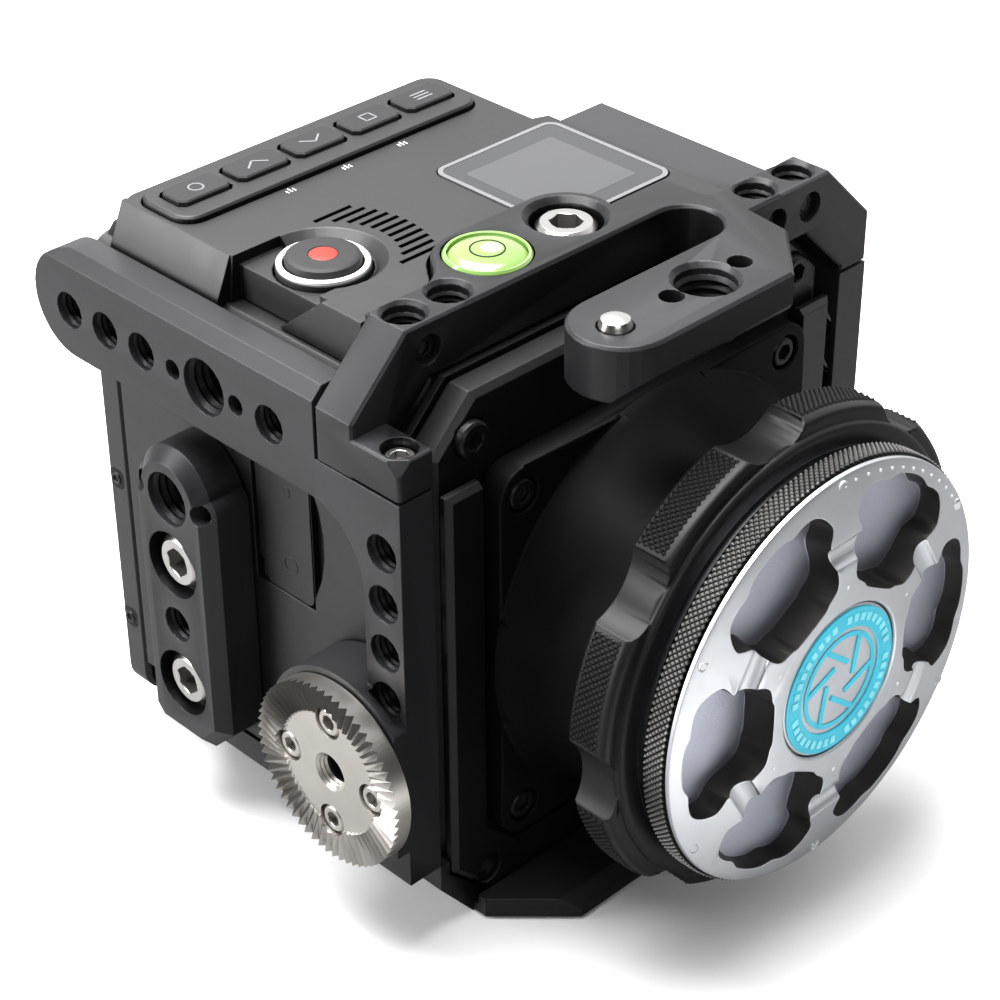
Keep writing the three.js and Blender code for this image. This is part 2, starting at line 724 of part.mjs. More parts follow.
// ---------------------------------------------------------------- front of the body
const FRONT_SCREWS = [
  [-36, LENS + 40.3, 2.4],
  [36, LENS + 40.3, 2.4],
  [-36, LENS - 40.3, -0.6],
  [36, LENS - 40.3, -0.6],
];
const NECK_SCREW = 29.6; // half the square of the adapter's four screws

function frontHousing() {
  const body = cut(
    slab("y", cutBox(-43.2, 3, 43.2, 95.4, 8.2), 2.5, 8.5, 1),
    rod("y", [0, 0, LENS], 1, 10, 33, 36),
    ...FRONT_SCREWS.slice(0, 2).map(([x, z]) => rod("y", [x, 0, z], 1, 5.4, 3.3)),
    ...FRONT_SCREWS.slice(0, 2).map(([x, z]) => rod("y", [x, 0, z], 5, 7.4, 1.8, 10)),
  );
  return piece("front_housing", body, bodyBlack);
}

// The frame round the lens mount is open at its top: two uprights and a foot.
function frontFrame() {
  const [half, foot, top] = [43.2, 3, 82];
  const outline = shape([
    [-half + 8.2, foot],
    [half - 8.2, foot],
    [half, foot + 8.2],
    [half, top],
    [-half, top],
    [-half, foot + 8.2],
  ]);
  const body = cut(
    slab("y", outline, -0.6, 2.2, 0.9),
    slab("y", cutBox(-36.2, 10.6, 36.2, 95, 6.2), -2, 4),
    ...FRONT_SCREWS.slice(2).flatMap(([x, z]) => [
      rod("y", [x, 0, z], -2, 1, 2.9),
      rod("y", [x, 0, z], -2, 4, 1.5, 10),
    ]),
  );
  return piece("front_frame", body, bodyBlack);
}

function frontScrews() {
  return FRONT_SCREWS.map(([x, z, y], i) =>
    piece(
      "front_screw_" + (i + 1),
      i < 2
        ? screw("y", [x, 0, z], y - 1.4, 1, 3, 3.6, 1.5, 2.2)
        : screw("y", [x, 0, z], y + 0.5, 1, 2.6, 0.8, 1.2, 1.4),
      anodised,
    ),
  );
}

// ---------------------------------------------------------------- lens mount
const NECK_BACK = 2.2;
const LEG_FACE = -2.5;

function mountNeck() {
  const legs = slab(
    "y",
    roundedBox(-34.6, LENS - 34.6, 34.6, LENS + 34.6, 5),
    LEG_FACE,
    NECK_BACK,
    0.6,
    3,
  );
  const barrel = turned(
    [
      [0, NECK_END],
      [31, NECK_END],
      [31, -20.6],
      [33, -17],
      [35.6, LEG_FACE + 0.4],
      [0, LEG_FACE + 0.4],
    ],
    36,
  );
  const hole = turned(
    [
      [0, NECK_END - 1],
      [THROAT, NECK_END - 1],
      [THROAT, -8],
      [24, -8],
      [24, 4],
      [0, 4],
    ],
    36,
  );
  const corners = [-1, 1].flatMap((i) => [-1, 1].map((k) => [i * NECK_SCREW, LENS + k * NECK_SCREW]));
  const body = cut(
    union(legs, barrel),
    hole,
    ...corners.flatMap(([x, z]) => [
      rod("y", [x, 0, z], LEG_FACE - 1, LEG_FACE + 1.5, 2.9),
      rod("y", [x, 0, z], LEG_FACE - 1, 4, 1.4, 10),
    ]),
  );
  const screws = corners.map(([x, z], i) =>
    piece("mount_screw_" + (i + 1), screw("y", [x, 0, z], LEG_FACE + 0.2, 1, 2.6, 1, 1.1, 3.4), anodised),
  );
  return [piece("mount_adapter", body, bodyBlack), ...screws];
}

const RING = { front: -31.2, lobeFront: -29.4, lobeBack: -22.6, tip: 41.3, valley: 37.6, flange: 38.6 };
const RING_LOBES = 8;
const RING_TURN = THREE.MathUtils.degToRad(7); // middle of the first scallop

// Front view of the lock ring's grip: lobes between round scallops.
function gripOutline() {
  const s = new THREE.Shape();
  const steps = 4;
  const half = THREE.MathUtils.degToRad(11.5);
  const pitch = (2 * Math.PI) / RING_LOBES;
  const points = [];
  for (let i = 0; i < RING_LOBES; i++) {
    const middle = RING_TURN + i * pitch;
    for (let k = 0; k <= steps; k++) {
      const t = -1 + (2 * k) / steps;
      const r = RING.valley + (RING.tip - RING.valley) * t * t;
      points.push([r, middle + t * half]);
    }
    for (let k = 1; k < 3; k++)
      points.push([RING.tip, middle + half + ((pitch - 2 * half) * k) / 3]);
  }
  points.forEach(([r, a], i) => {
    const [x, z] = [r * Math.cos(a), LENS + r * Math.sin(a)];
    if (i) s.lineTo(x, z);
    else s.moveTo(x, z);
  });
  return s;
}

function lockRing() {
  const body = cut(
    union(
      slab("y", gripOutline(), RING.lobeBack, RING.lobeFront, 0),
      rod("y", [0, 0, LENS], RING.lobeFront + 1, RING.front, RING.flange, 40),
    ),
    rod("y", [0, 0, LENS], RING.lobeBack + 1, NECK_END + 0.3, 31.5, 40),
    rod("y", [0, 0, LENS], NECK_END + 0.31, RING.front - 1, 36, 40),
  );
  return piece("lock_ring", body, bodyBlack);
}

// ---------------------------------------------------------------- body cap
const CAP = { rim: 36.2, rimY: -37.2, back: -32.9, hub: 15, hubY: -40.7, floor: -35, recess: 13.3 };
const CAP_POCKETS = 6;

// One pocket between two spokes: a ring sector with cut corners.
function pocketOutline(index) {
  const middle = (index * 2 * Math.PI) / CAP_POCKETS;
  const [inner, outer] = [18.4, 31.2];
  const s = new THREE.Shape();
  const polar = [
    [inner, -0.3],
    [inner, 0.3],
    [22.5, 0.4],
    [28, 0.42],
    [outer, 0.33],
    [outer, -0.33],
    [28, -0.42],
    [22.5, -0.4],
  ].reverse();
  polar.forEach(([r, a], i) => {
    const [x, z] = [r * Math.cos(middle + a), LENS + r * Math.sin(middle + a)];
    if (i) s.lineTo(x, z);
    else s.moveTo(x, z);
  });
  return s;
}

function bodyCap() {
  const disc = turned(
    [
      [0, CAP.hubY],
      [CAP.hub, CAP.hubY],
      [33.6, -38.3],
      [CAP.rim, CAP.rimY],
      [CAP.rim, CAP.back],
      [29.5, CAP.back],
      [29.5, NECK_END - GAP],
      [26.8, NECK_END - GAP],
      [26.8, -22],
      [23.5, -22],
      [23.5, -32],
      [0, -32],
    ],
    40,
  );
  const body = cut(
    disc,
    rod("y", [0, 0, LENS], CAP.hubY - 1, CAP.hubY + 1.6, CAP.recess, 24),
    ...Array.from({ length: CAP_POCKETS }, (_, i) => slab("y", pocketOutline(i), CAP.floor, -45)),
  );
  const medallion = rod("y", [0, 0, LENS], CAP.hubY + 1.3, CAP.hubY + 0.4, CAP.recess - GAP, 24);
  return [piece("body_cap", body, capGrey), piece("cap_medallion", medallion, blue)];
}

// ---------------------------------------------------------------- control deck
const RECORD = [-32.4, 37.7];
const KEY_NAMES = ["key_select", "key_up", "key_down", "key_function", "key_menu"];
const KEY = { x: -33, y: 67.2, pitch: 12.1, width: 10.2, depth: 6 };
const PAD = { x0: -40.8, x1: 22.6, y0: 59.9, y1: 73.2 };
const DECK_SIDE = 42.5; // left wall of the deck at its foot
const PAD_TOP = DECK + 1;
const RECORD_FLOOR = DECK - 1.8;
const GRILLE = { slots: 11, back: 47.5, pitch: 1.93, inner: 11.9, outer: 17.5 };
const SCREEN = { x0: -0.8, x1: 26.2, y0: 19.6, y1: 47.3 };

function deckPlan() {
  const s = new THREE.Shape();
  s.moveTo(-DECK_SIDE, 18.8);
  s.lineTo(-30.8, 18.8);
  s.quadraticCurveTo(-26.8, 19, -24.4, 23.4);
  s.absarc(LEVEL[0], LEVEL[1], 9.2, LOBE_END, Math.PI / 2, true);
  s.lineTo(FIXING[0], FIXING[1] + 9);
  s.absarc(FIXING[0], FIXING[1], 9, Math.PI / 2, -0.14, true);
  s.lineTo(21.9, 17.6);
  s.lineTo(21.9, 15.8);
  s.lineTo(23.3, 15.2); // a narrow opening beside the plate
  s.lineTo(23.3, 9.8);
  s.lineTo(27.4, 9.8);
  s.lineTo(27.4, 49);
  s.lineTo(24.6, 50);
  s.absarc(21.4, 71.8, 3.2, 0, Math.PI / 2);
  s.absarc(3.4 - DECK_SIDE, 71.6, 3.4, Math.PI / 2, Math.PI);
  return s;
}

// The outline of a recess with a little air round the piece that sits in it.
function framed({ x0, y0, x1, y1 }, radius) {
  return roundedBox(x0 - GAP, y0 - GAP, x1 + GAP, y1 + GAP, radius);
}

function controlDeck() {
  const low = SHOULDER + GAP;
  const draft = slab( // the deck's left wall leans in a little
    "y",
    shape([
      [-46, 90],
      [-DECK_SIDE, low],
      [-41.7, DECK],
      [-41.7, DECK + 2],
      [-46, DECK + 2],
    ]),
    0,
    90,
  );
  const notch = slab( // opens the recess to the left, down to the shell, in front of a ramp
    "x",
    shape([
      [26.2, DECK + 1],
      [38, 94.5],
      [47.8, 94.5],
      [47.8, DECK + 1],
    ]),
    -50,
    -40.5,
  );
  const body = cut(
    slab("z", deckPlan(), low, DECK, 0, 6),
    draft,
    notch,
    rod("z", [...RECORD, 0], RECORD_FLOOR, DECK + 0.9, 8, 32, 11),
    box(-50, 29.2, RECORD_FLOOR, RECORD[0], 47.8, DECK + 1),
    rod("z", [...RECORD, 0], RECORD_FLOOR - 3.4, DECK + 1, 7.8, 24),
    slab("z", framed(PAD, 3.8), DECK - 1.8, DECK + 1, 0, 3),
    slab("z", framed(SCREEN, 2.6), DECK - 1, DECK + 1, 0, 2),
    box(2, 31, low - 1, 23, 45, DECK + 1),
    ...Array.from({ length: GRILLE.slots }, (_, i) => grilleSlot(i, low)),
  );
  return piece("control_deck", body, bodyBlack);
}

// One slot of the speaker grille; both ends of the row follow circles round the record recess.
function grilleSlot(i, low) {
  const y = GRILLE.back - GRILLE.pitch * i;
  const end = (radius) => RECORD[0] + Math.sqrt(radius ** 2 - (y - RECORD[1]) ** 2);
  return box(end(GRILLE.inner), y - 0.42, low + 1.2, end(GRILLE.outer), y + 0.42, DECK + 1);
}

function keypad() {
  const centres = KEY_NAMES.map((_, i) => KEY.x + KEY.pitch * i);
  const pocket = (x, grow) =>
    cutBox(
      x - KEY.width / 2 - grow,
      KEY.y - KEY.depth / 2 - grow,
      x + KEY.width / 2 + grow,
      KEY.y + KEY.depth / 2 + grow,
      1,
    );
  const pad = cut(
    slab("z", roundedBox(PAD.x0, PAD.y0, PAD.x1, PAD.y1, 3.6), DECK - 1.5, PAD_TOP, 0.4, 3),
    ...centres.map((x) => slab("z", pocket(x, 0.4), DECK - 0.5, PAD_TOP + 1)),
  );
  const keys = centres.map((x, i) =>
    piece(KEY_NAMES[i], slab("z", pocket(x, 0), DECK + 0.35, PAD_TOP + 0.7, 0.25), rubber),
  );
  return [piece("keypad_frame", pad, bodyBlack), ...keys];
}

function recordControl() {
  const base = RECORD_FLOOR - 3.1;
  const ring = cut(
    rod("z", [...RECORD, 0], base, RECORD_FLOOR + 1.5, 7.4, 28),
    rod("z", [...RECORD, 0], base + 0.8, RECORD_FLOOR + 2, 6.3, 28),
  );
  const profile = [
    [0, base + 1.9],
    [5.95, base + 1.9],
    [5.95, DECK + 0.1],
    [5.3, DECK + 0.8],
    [0, DECK + 0.7],
  ].map(([r, z]) => new THREE.Vector2(r, z));
  const button = new THREE.LatheGeometry(profile, 24);
  button.rotateX(Math.PI / 2);
  button.translate(...RECORD, 0);
  return [piece("record_ring", ring, white), piece("record_button", solidFacingOut(button), rubber)];
}

function display() {
  const outline = roundedBox(SCREEN.x0, SCREEN.y0, SCREEN.x1, SCREEN.y1, 2.4);
  const window = cut(
    slab("z", outline, DECK - 0.7, DECK + 0.1, 0.2, 2),
    rod("z", [...FIXING, 0], DECK - 2, DECK + 1, 9.8, 24), // stays clear of the plate's lobe
  );
  const module = box(2.4, 31.4, SHOULDER + 1.2, 22.6, 44.6, DECK - 1.3);
  return [piece("display_window", window, glass), piece("display_module", module, circuit)];
}

// ---------------------------------------------------------------- media door and card
function media() {
  const { front, rear, low, high } = DOOR;
  const { x, y } = DOOR_AXIS;
  const knuckle = 0.95;
  const door = cut(
    union(
      slab("x", roundedBox(front, low, rear, high, 1.6), -BODY, -BODY + 1.4, 0, 3),
      box(-BODY + 0.05, rear - 1.5, low + 4, -BODY + 1.4, y, high - 4),
      rod("z", [x, y, 0], low + 4, high - 4, knuckle, 12),
    ),
    rod("z", [x, y, 0], low - 1, high + 1, 0.6, 10),
  );
  const pin = rod("z", [x, y, 0], low - 1.6, high + 1.6, 0.45, 8);
  const card = cut(
    slab("z", cutBox(-40.6, 31.6, -8.6, 33.7, 0.3), CARD_Z - 12, CARD_Z + 12),
    box(-42, 31, CARD_Z + 10, -38, 32.2, CARD_Z + 13),
  );
  const slot = cut(
    box(-36.5, 29.4, CARD_Z - 14, -6, 36, CARD_Z + 14),
    box(-38, 31.3, CARD_Z - 12.3, -8.2, 34, CARD_Z + 12.3),
  );
  return [
    piece("media_door", door, bodyBlack),
    piece("door_pin", pin, steel),
    piece("memory_card", card, rubber),
    piece("card_slot", slot, aluminium),
  ];
}

// ---------------------------------------------------------------- inside the body
const FAN = { x: 27, y: 58, z: 40, radius: 14 };

function fan() {
  const { x, y, z, radius } = FAN;
  const frame = cut(
    slab("y", roundedBox(x - 16, z - 16, x + 16, z + 16, 2), y, y + 10, 0, 2),
    rod("y", [x, 0, z], y + 1.2, y + 11, radius + 1, 24),
    rod("y", [x, 0, z], y - 1, y + 2, 11, 16),
  );
  const spider = union(
    frame,
    rod("y", [x, 0, z], y, y + 1.2, 5, 12),
    box(x - 15, y, z - 0.8, x + 15, y + 1.2, z + 0.8),
    rod("y", [x, 0, z], y + 1, y + 5, 1, 8),
  );
  const blades = Array.from({ length: 7 }, (_, i) => {
    const blade = new THREE.BoxGeometry(radius - 5, 5.6, 0.9);
    blade.rotateX(THREE.MathUtils.degToRad(38));
    blade.translate((radius + 4.6) / 2, 0, 0);
    blade.rotateY((i * 2 * Math.PI) / 7);
    blade.translate(x, y + 5.4, z);
    return solid(blade);
  });
  const rotor = cut(
    union(rod("y", [x, 0, z], y + 2.2, y + 8.6, 5.6, 16), ...blades),
    rod("y", [x, 0, z], y + 1, y + 5.6, 1.3, 8),
  );
  return [piece("fan_frame", spider, rubber), piece("fan_rotor", rotor, bodyBlack)];
}

function imaging() {
  const half = 17;
  const board = box(-half, 21, LENS - half, half, 22.6, LENS + half);
  const sensor = box(-14, 18.4, LENS - 8.5, 14, 20.7, LENS + 8.5);
  const filter = box(-15, 15.6, LENS - 9.5, 15, 16.8, LENS + 9.5);
  const holder = cut(
    box(-21, 13.4, LENS - 16, 21, 18, LENS + 16),
    box(-15.4, 15.3, LENS - 9.9, 15.4, 17.1, LENS + 9.9),
    box(-13.2, 12, LENS - 7.8, 13.2, 19, LENS + 7.8),
    box(-15.4, 15.3, LENS - 9.9, 15.4, 19, LENS + 9.9),
  );
  const sink = union(
    box(-5, 23, 28, 40, 25, 86),
    ...Array.from({ length: 8 }, (_, i) => box(-2 + 5.4 * i, 24.5, 30, -0.6 + 5.4 * i, 31, 86)),
  );
  const main = slab("y", cutBox(-6, 22, 42, 90, 5.5), 44, 45.6);
  return [
    piece("filter_holder", holder, aluminium),
    piece("optical_filter", filter, glass),
    piece("image_sensor", sensor, circuit),
    piece("sensor_board", board, circuit),
    piece("heat_sink", sink, aluminium),
    piece("main_board", main, circuit),
  ];
}

function battery() {
  const y = REAR - 2.1;
  const plate = cut(
    slab("y", cutBox(-30.6, 18.4, 30.6, 83.6, 1.5), y, REAR + 1.4, 0.5),
    box(-27, REAR - 0.6, 26, 27, REAR + 2, 80),
    slab("y", roundedBox(-5.4, 19.8, 5.4, 24.4, 0.8), REAR - 0.6, REAR + 2, 0, 2),
    ...[-1, 1].map((k) => box(k * 10 - 7, REAR - 1.4, 60, k * 10 + 7, REAR + 1, 74)),
  );
  const latch = slab("y", roundedBox(-5, 20.2, 5, 24, 0.7), REAR + 0.6, REAR + 2.6, 0.2, 2);
  return [piece("battery_plate", plate, bodyBlack), piece("battery_latch", latch, rubber)];
}

// ---------------------------------------------------------------- assembly
const root = new THREE.Group();
root.add(topPlate(), leftSide(), rightSide(), basePlate());
root.add(rosette(), ...rosetteScrews());
root.add(sideBracket(), ...bracketScrews());
root.add(...topFittings(), armPin());
root.add(mainShell(), rearCover(), frontHousing(), frontFrame(), ...frontScrews());
root.add(...mountNeck(), lockRing(), ...bodyCap());
root.add(controlDeck(), ...keypad(), ...recordControl(), ...display());
root.add(...media(), ...imaging(), ...fan(), ...battery());

export default root;
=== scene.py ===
"""The looks of a caged cinema camera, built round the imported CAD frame. Lengths are in millimetres."""

import json
import math

import bmesh
import bpy
from mathutils import Matrix, Vector


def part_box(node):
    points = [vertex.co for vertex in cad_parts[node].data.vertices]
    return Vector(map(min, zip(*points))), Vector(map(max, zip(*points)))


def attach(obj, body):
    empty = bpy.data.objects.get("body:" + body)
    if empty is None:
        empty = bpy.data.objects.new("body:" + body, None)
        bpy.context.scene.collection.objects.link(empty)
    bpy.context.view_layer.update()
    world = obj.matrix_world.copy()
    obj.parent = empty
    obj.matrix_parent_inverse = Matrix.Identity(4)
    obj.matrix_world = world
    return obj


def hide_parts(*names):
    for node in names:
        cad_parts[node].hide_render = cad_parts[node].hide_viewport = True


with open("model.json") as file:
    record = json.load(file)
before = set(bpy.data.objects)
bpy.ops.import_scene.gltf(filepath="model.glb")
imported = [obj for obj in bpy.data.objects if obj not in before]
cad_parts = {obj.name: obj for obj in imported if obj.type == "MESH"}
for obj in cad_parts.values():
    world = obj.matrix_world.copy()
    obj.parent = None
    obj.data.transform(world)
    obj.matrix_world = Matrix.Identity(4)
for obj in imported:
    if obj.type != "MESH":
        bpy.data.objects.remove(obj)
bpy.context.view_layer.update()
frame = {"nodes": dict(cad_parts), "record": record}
MM = 0.001
NODES = frame["nodes"]


def low(node):
    """Lowest corner of a CAD node."""
    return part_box(node)[0] / MM


def high(node):
    """Highest corner of a CAD node."""
    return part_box(node)[1] / MM


def middle(node):
    return (low(node) + high(node)) / 2


# ---------------------------------------------------------------- driving dimensions
LENS = middle("mount_adapter").z  # height of the lens axis
TOP = 105.2  # upper face of the top plate
DECK = high("control_deck").z  # upper face of the control deck
HALF = high("cage_right_side").x  # half of the cage's width
FLANK = high("main_shell").x  # half of the body's width
REAR = high("rear_cover").y  # back of the body
UPPER_HOLES = [(-37.4, 14.4), (-28.5, 14.4), (28.3, 4.6), (37.3, 4.6)]
ARM_BOLT = (0.8, -9.8)
BAR_Z = 86.4  # height of the row of holes in the side bar
BAR_HOLES = [77.3, 68.1, 58.9, 28.4]
BAR_BOLT = 43.6
POST_HOLES = [75, 66, 57.1, 48.3]
POST_Y = 4.15
BRACKET_Y = middle("side_bracket").y
ROSETTE = middle("rosette")
RECORD = middle("record_button")


# ---------------------------------------------------------------- materials
class Nodes:
    """Adds and links the nodes of one shader tree."""

    def __init__(self, owner, coordinates="Object"):
        owner.use_nodes = True
        self.tree = owner.node_tree
        self.shader = self.tree.nodes.get("Principled BSDF")
        self.place = self.add("ShaderNodeTexCoord", coordinates)

    def set(self, node, inputs):
        """Feeds a node's inputs, each with another node's output or with a plain value."""
        for name, value in inputs.items():
            if isinstance(value, bpy.types.NodeSocket):
                self.tree.links.new(value, node.inputs[name])
            else:
                node.inputs[name].default_value = value

    def add(self, kind, output, inputs=None, **settings):
        """One output of a new node."""
        node = self.tree.nodes.new(kind)
        for name, value in settings.items():
            setattr(node, name, value)
        self.set(node, inputs or {})
        return node.outputs[output]

    def number(self, operation, one, two):
        return self.add("ShaderNodeMath", "Value", {0: one, 1: two}, operation=operation)

    def vector(self, operation, output, *values):
        return self.add("ShaderNodeVectorMath", output, dict(enumerate(values)), operation=operation)

    def noise(self, scale, detail=3.0):
        """Noise whose features are about 1/scale metres wide."""
        return self.add("ShaderNodeTexNoise", "Fac", {"Scale": scale, "Detail": detail, "Vector": self.place})

    def ramp(self, value, from_min, from_max, to_min=0.0, to_max=1.0, curve="LINEAR"):
        """Maps a range of a value to another range."""
        ends = {"From Min": from_min, "From Max": from_max, "To Min": to_min, "To Max": to_max}
        return self.add("ShaderNodeMapRange", "Result", {"Value": value, **ends}, interpolation_type=curve)

    def spread(self, value, low_value, high_value):
        """Maps 0.3 to 0.7, the middle of a noise, to a range."""
        return self.ramp(value, 0.3, 0.7, low_value, high_value)

    def mix(self, factor, one, two):
        """A blend of two colours."""
        return self.add("ShaderNodeMix", "Result", {"Factor": factor, "A": one, "B": two}, data_type="RGBA")

    def base(self):
        """What gives the surface its colour so far."""
        return self.shader.inputs["Base Color"].links[0].from_socket

    def bump(self, height, strength, depth, rounding=0.0):
        """Grain in the surface, over edges that catch the light as if slightly rounded."""
        inputs = {"Strength": strength, "Distance": depth * MM, "Height": height}
        if rounding:
            inputs["Normal"] = self.add("ShaderNodeBevel", "Normal", {"Radius": rounding * MM}, samples=4)
        self.set(self.shader, {"Normal": self.add("ShaderNodeBump", "Normal", inputs)})


def opaque(color):
    return (*color, 1)


def surface(name, color, roughness, metallic=0.0, grain=2500, bump=0.15, depth=0.05, change=0.12, coat=0.0,
            rounding=0.0, gloss=0.5, patchy=0.5):
    """A finish with fine grain, faint blotches and uneven roughness.

    `grain` is the grain's fineness, `bump` and `depth` its strength, `change` the blotches' contrast,
    `rounding` the radius that edges seem to have and `patchy` how uneven the roughness is.
    """
    material = bpy.data.materials.new(name)
    n = Nodes(material)
    dark, light = ([c * share for c in color] for share in (1 - change, 1 + change))
    uneven = n.spread(n.noise(220), roughness * (1 - 0.1 * patchy), roughness * (1 + 0.12 * patchy))
    n.set(n.shader, {
        "Base Color": n.mix(n.spread(n.noise(60), 0, 1), opaque(dark), opaque(light)),
        "Roughness": uneven,
        "Metallic": metallic,
        "Specular IOR Level": gloss,
        "Coat Weight": coat,
        "Coat Roughness": 0.12,
    })
    n.bump(n.noise(grain, 2), bump, depth, rounding)
    return material


def worn_and_highlit_edges(material, color, amount):
    """Lightens convex edges a little: partly wear, as anodising thins there, and partly a painted highlight
    along the edges.
    """
    n = Nodes(material)
    wear_and_highlight = n.ramp(n.add("ShaderNodeNewGeometry", "Pointiness"), 0.52, 0.62, 0, amount)
    n.set(n.shader, {"Base Color": n.mix(wear_and_highlight, n.base(), opaque(color))})
    return material


def shaded_front(material, gloss, least):
    """Painted shade: forward faces left of the middle get less shine, standing in for the dark side of the
    studio that they would mirror.
    """
    n = Nodes(material)
    normal = n.add("ShaderNodeNewGeometry", "True Normal")
    forward = n.ramp(n.add("ShaderNodeSeparateXYZ", "Y", {"Vector": normal}), -0.5, -0.9)
    left = n.ramp(n.add("ShaderNodeSeparateXYZ", "X", {"Vector": n.place}), 34 * MM, 16 * MM)
    both = n.number("MULTIPLY", forward, left)
    n.set(n.shader, {"Specular IOR Level": n.ramp(both, 0, 1, gloss, least)})
    return material


def anodised():
    made = surface("anodised_black", (0.008, 0.008, 0.0088), 0.36, 0.1, 3200, 0.22, 0.03, 0.15, rounding=0.3)
    return shaded_front(worn_and_highlit_edges(made, (0.1, 0.1, 0.105), 0.3), 0.5, 0.08)


def body_black():
    made = surface("body_black", (0.008, 0.008, 0.0085), 0.45, 0.0, 3000, 0.35, 0.03, 0.1, rounding=0.35)
    return shaded_front(made, 0.8, 0.1)


def shaded_grooves(material, radius, depth, dark):
    """Darkens what lies deeper than a radius round the lens axis: painted shade in the valleys between
    knurls.
    """
    n = Nodes(material)
    from_axis = n.vector("MULTIPLY_ADD", "Vector", n.place, (1, 0, 1), (0, 0, -LENS * MM))
    distance = n.vector("LENGTH", "Value", from_axis)
    raised = n.ramp(distance, (radius - depth) * MM, (radius - 0.25 * depth) * MM)
    n.set(n.shader, {"Base Color": n.mix(raised, opaque(dark), n.base())})


def circuit():
    """A green board with copper tracks on a square grid."""
    green = (0.01, 0.09, 0.05)
    material = surface("circuit_board", green, 0.35, 0, 1500, 0.1, 0.02)
    n = Nodes(material)
    tracks = n.add("ShaderNodeTexBrick", "Color", {
        "Vector": n.place,
        "Scale": 160,
        "Color1": opaque(green),
        "Color2": (0.012, 0.12, 0.06, 1),
        "Mortar": (0.35, 0.25, 0.08, 1),
        "Mortar Size": 0.03,
    })
    n.set(n.shader, {"Base Color": tracks})
    return material


def bubble():
    """The level's air bubble, with a faint painted glow."""
    color = (0.46, 0.6, 0.3)
    material = surface("bubble", color, 0.25, 0, 700, 0.03, 0.02, 0.08, 0.8)
    n = Nodes(material)
    # Painted glow: a faint emission, though the bubble is no lamp.
    n.set(n.shader, {"Emission Color": opaque(color), "Emission Strength": 0.05})
    return material


MATERIALS = {
    "anodised": anodised(),
    "body_black": body_black(),
    "steel": surface("steel", (0.52, 0.5, 0.47), 0.36, 1.0, 2600, 0.3, 0.03, 0.1),
    "silver": surface("silver", (0.52, 0.51, 0.495), 0.26, 1.0, 900, 0.05, 0.02, 0.05),
    "aluminium": surface("aluminium", (0.6, 0.61, 0.62), 0.32, 1.0, 1500, 0.12, 0.02),
    "cap_grey": surface("cap_grey", (0.58, 0.592, 0.615), 0.42, 0.95, 3600, 0.25, 0.03, 0.08),
    "badge": surface("badge_blue", (0.05, 0.62, 0.8), 0.35, 0.1, 1200, 0.1, 0.02, 0.1, 0.3),
    "rubber": surface("rubber", (0.018, 0.018, 0.019), 0.6, 0.0, 2600, 0.3, 0.04, 0.1),
    "white": surface("white_ring", (0.82, 0.82, 0.81), 0.3, 0.0, 900, 0.05, 0.02, 0.03, 0.4),
    "liquid": surface("green_liquid", (0.19, 0.31, 0.075), 0.25, 0, 700, 0.03, 0.02, 0.08, 0.8),
    "glass": surface("dark_glass", (0.02, 0.021, 0.022), 0.22, 0, 900, 0.02, 0.01, 0.05, 0.6, patchy=0.1),
    "circuit": circuit(),
}
LIGHT_MARK = surface("light_mark", (0.9, 0.91, 0.92), 0.4, 0.0, 1500, 0.05, 0.02, 0.05)
KEY_MARK = surface("key_mark", (0.2, 0.2, 0.205), 0.4, 0.0, 1500, 0.05, 0.02, 0.05)
BADGE_LIGHT = surface("badge_light", (0.3, 0.85, 0.95), 0.3, 0.1, 1200, 0.1, 0.02, 0.1, 0.3)
# Black, made darker and duller than the other black parts: painted shade from the arm and plate that overhang
# the neck.
SHADED_NECK = surface("neck_black_painted_shade", (0.005, 0.005, 0.0055), 0.5, 0.0, 3000, 0.3, 0.03, 0.1, 0.0, 0.35, 0.12)
# Lowered shine on the lock ring and its knurls: painted shade on their forward faces.
RING_BLACK = surface("ring_black", (0.011, 0.011, 0.0115), 0.4, 0.0, 3000, 0.3, 0.03, 0.1, 0.0, 0.3, 0.28)
RING_GRIP = surface("ring_grip", (0.02, 0.02, 0.021), 0.42, 0.0, 3000, 0.3, 0.03, 0.1, gloss=0.35)
CAP_GRIP = surface("cap_grip", (0.42, 0.42, 0.41), 0.34, 0.95, 3000, 0.2, 0.03, 0.1)
SOCKET = surface("socket_steel", (0.3, 0.295, 0.285), 0.4, 1.0, 1500, 0.1, 0.02, 0.1)
# Dark steel for one flank of each rosette tooth: painted shade.
TOOTH_SHADE = surface("tooth_shade", (0.1, 0.096, 0.09), 0.45, 1.0, 2600, 0.3, 0.03, 0.1)
GOLD = surface("gold_contact", (0.83, 0.6, 0.24), 0.25, 1.0, 1500, 0.1, 0.02, 0.08)
# Near-black: painted shade for hollows and gaps, and the real print of the level's black circle.
SHADE_AND_PRINT_BLACK = surface("painted_shade_and_print_black", (0.004, 0.004, 0.004), 0.7, 0.0, 1500, 0.1, 0.02)
POCKET = surface("blasted_floor", (0.5, 0.515, 0.59), 0.45, 0.95, 5200, 0.9, 0.08, 0.12)
# Dark metal for the walls of the cap's pockets: painted shade in the pockets.
POCKET_WALL_SHADE = surface("pocket_wall_shade", (0.075, 0.072, 0.068), 0.42, 0.6, 1800, 0.1, 0.02, 0.1)
RED = surface("record_red", (0.33, 0.028, 0.016), 0.5, 0, 700, 0.03, 0.02, 0.08)
CLEAR = surface("clear_rim", (0.2, 0.34, 0.1), 0.12, 0.0, 900, 0.02, 0.01, 0.03, 0.8)
BUBBLE = bubble()
SCREEN = surface("screen", (0.06, 0.061, 0.064), 0.27, 0.0, 900, 0.02, 0.01, 0.03, 0.3, patchy=0.1)
BORDER = surface("screen_border", (0.16, 0.16, 0.165), 0.4, 0.0, 900, 0.03, 0.01, 0.03)


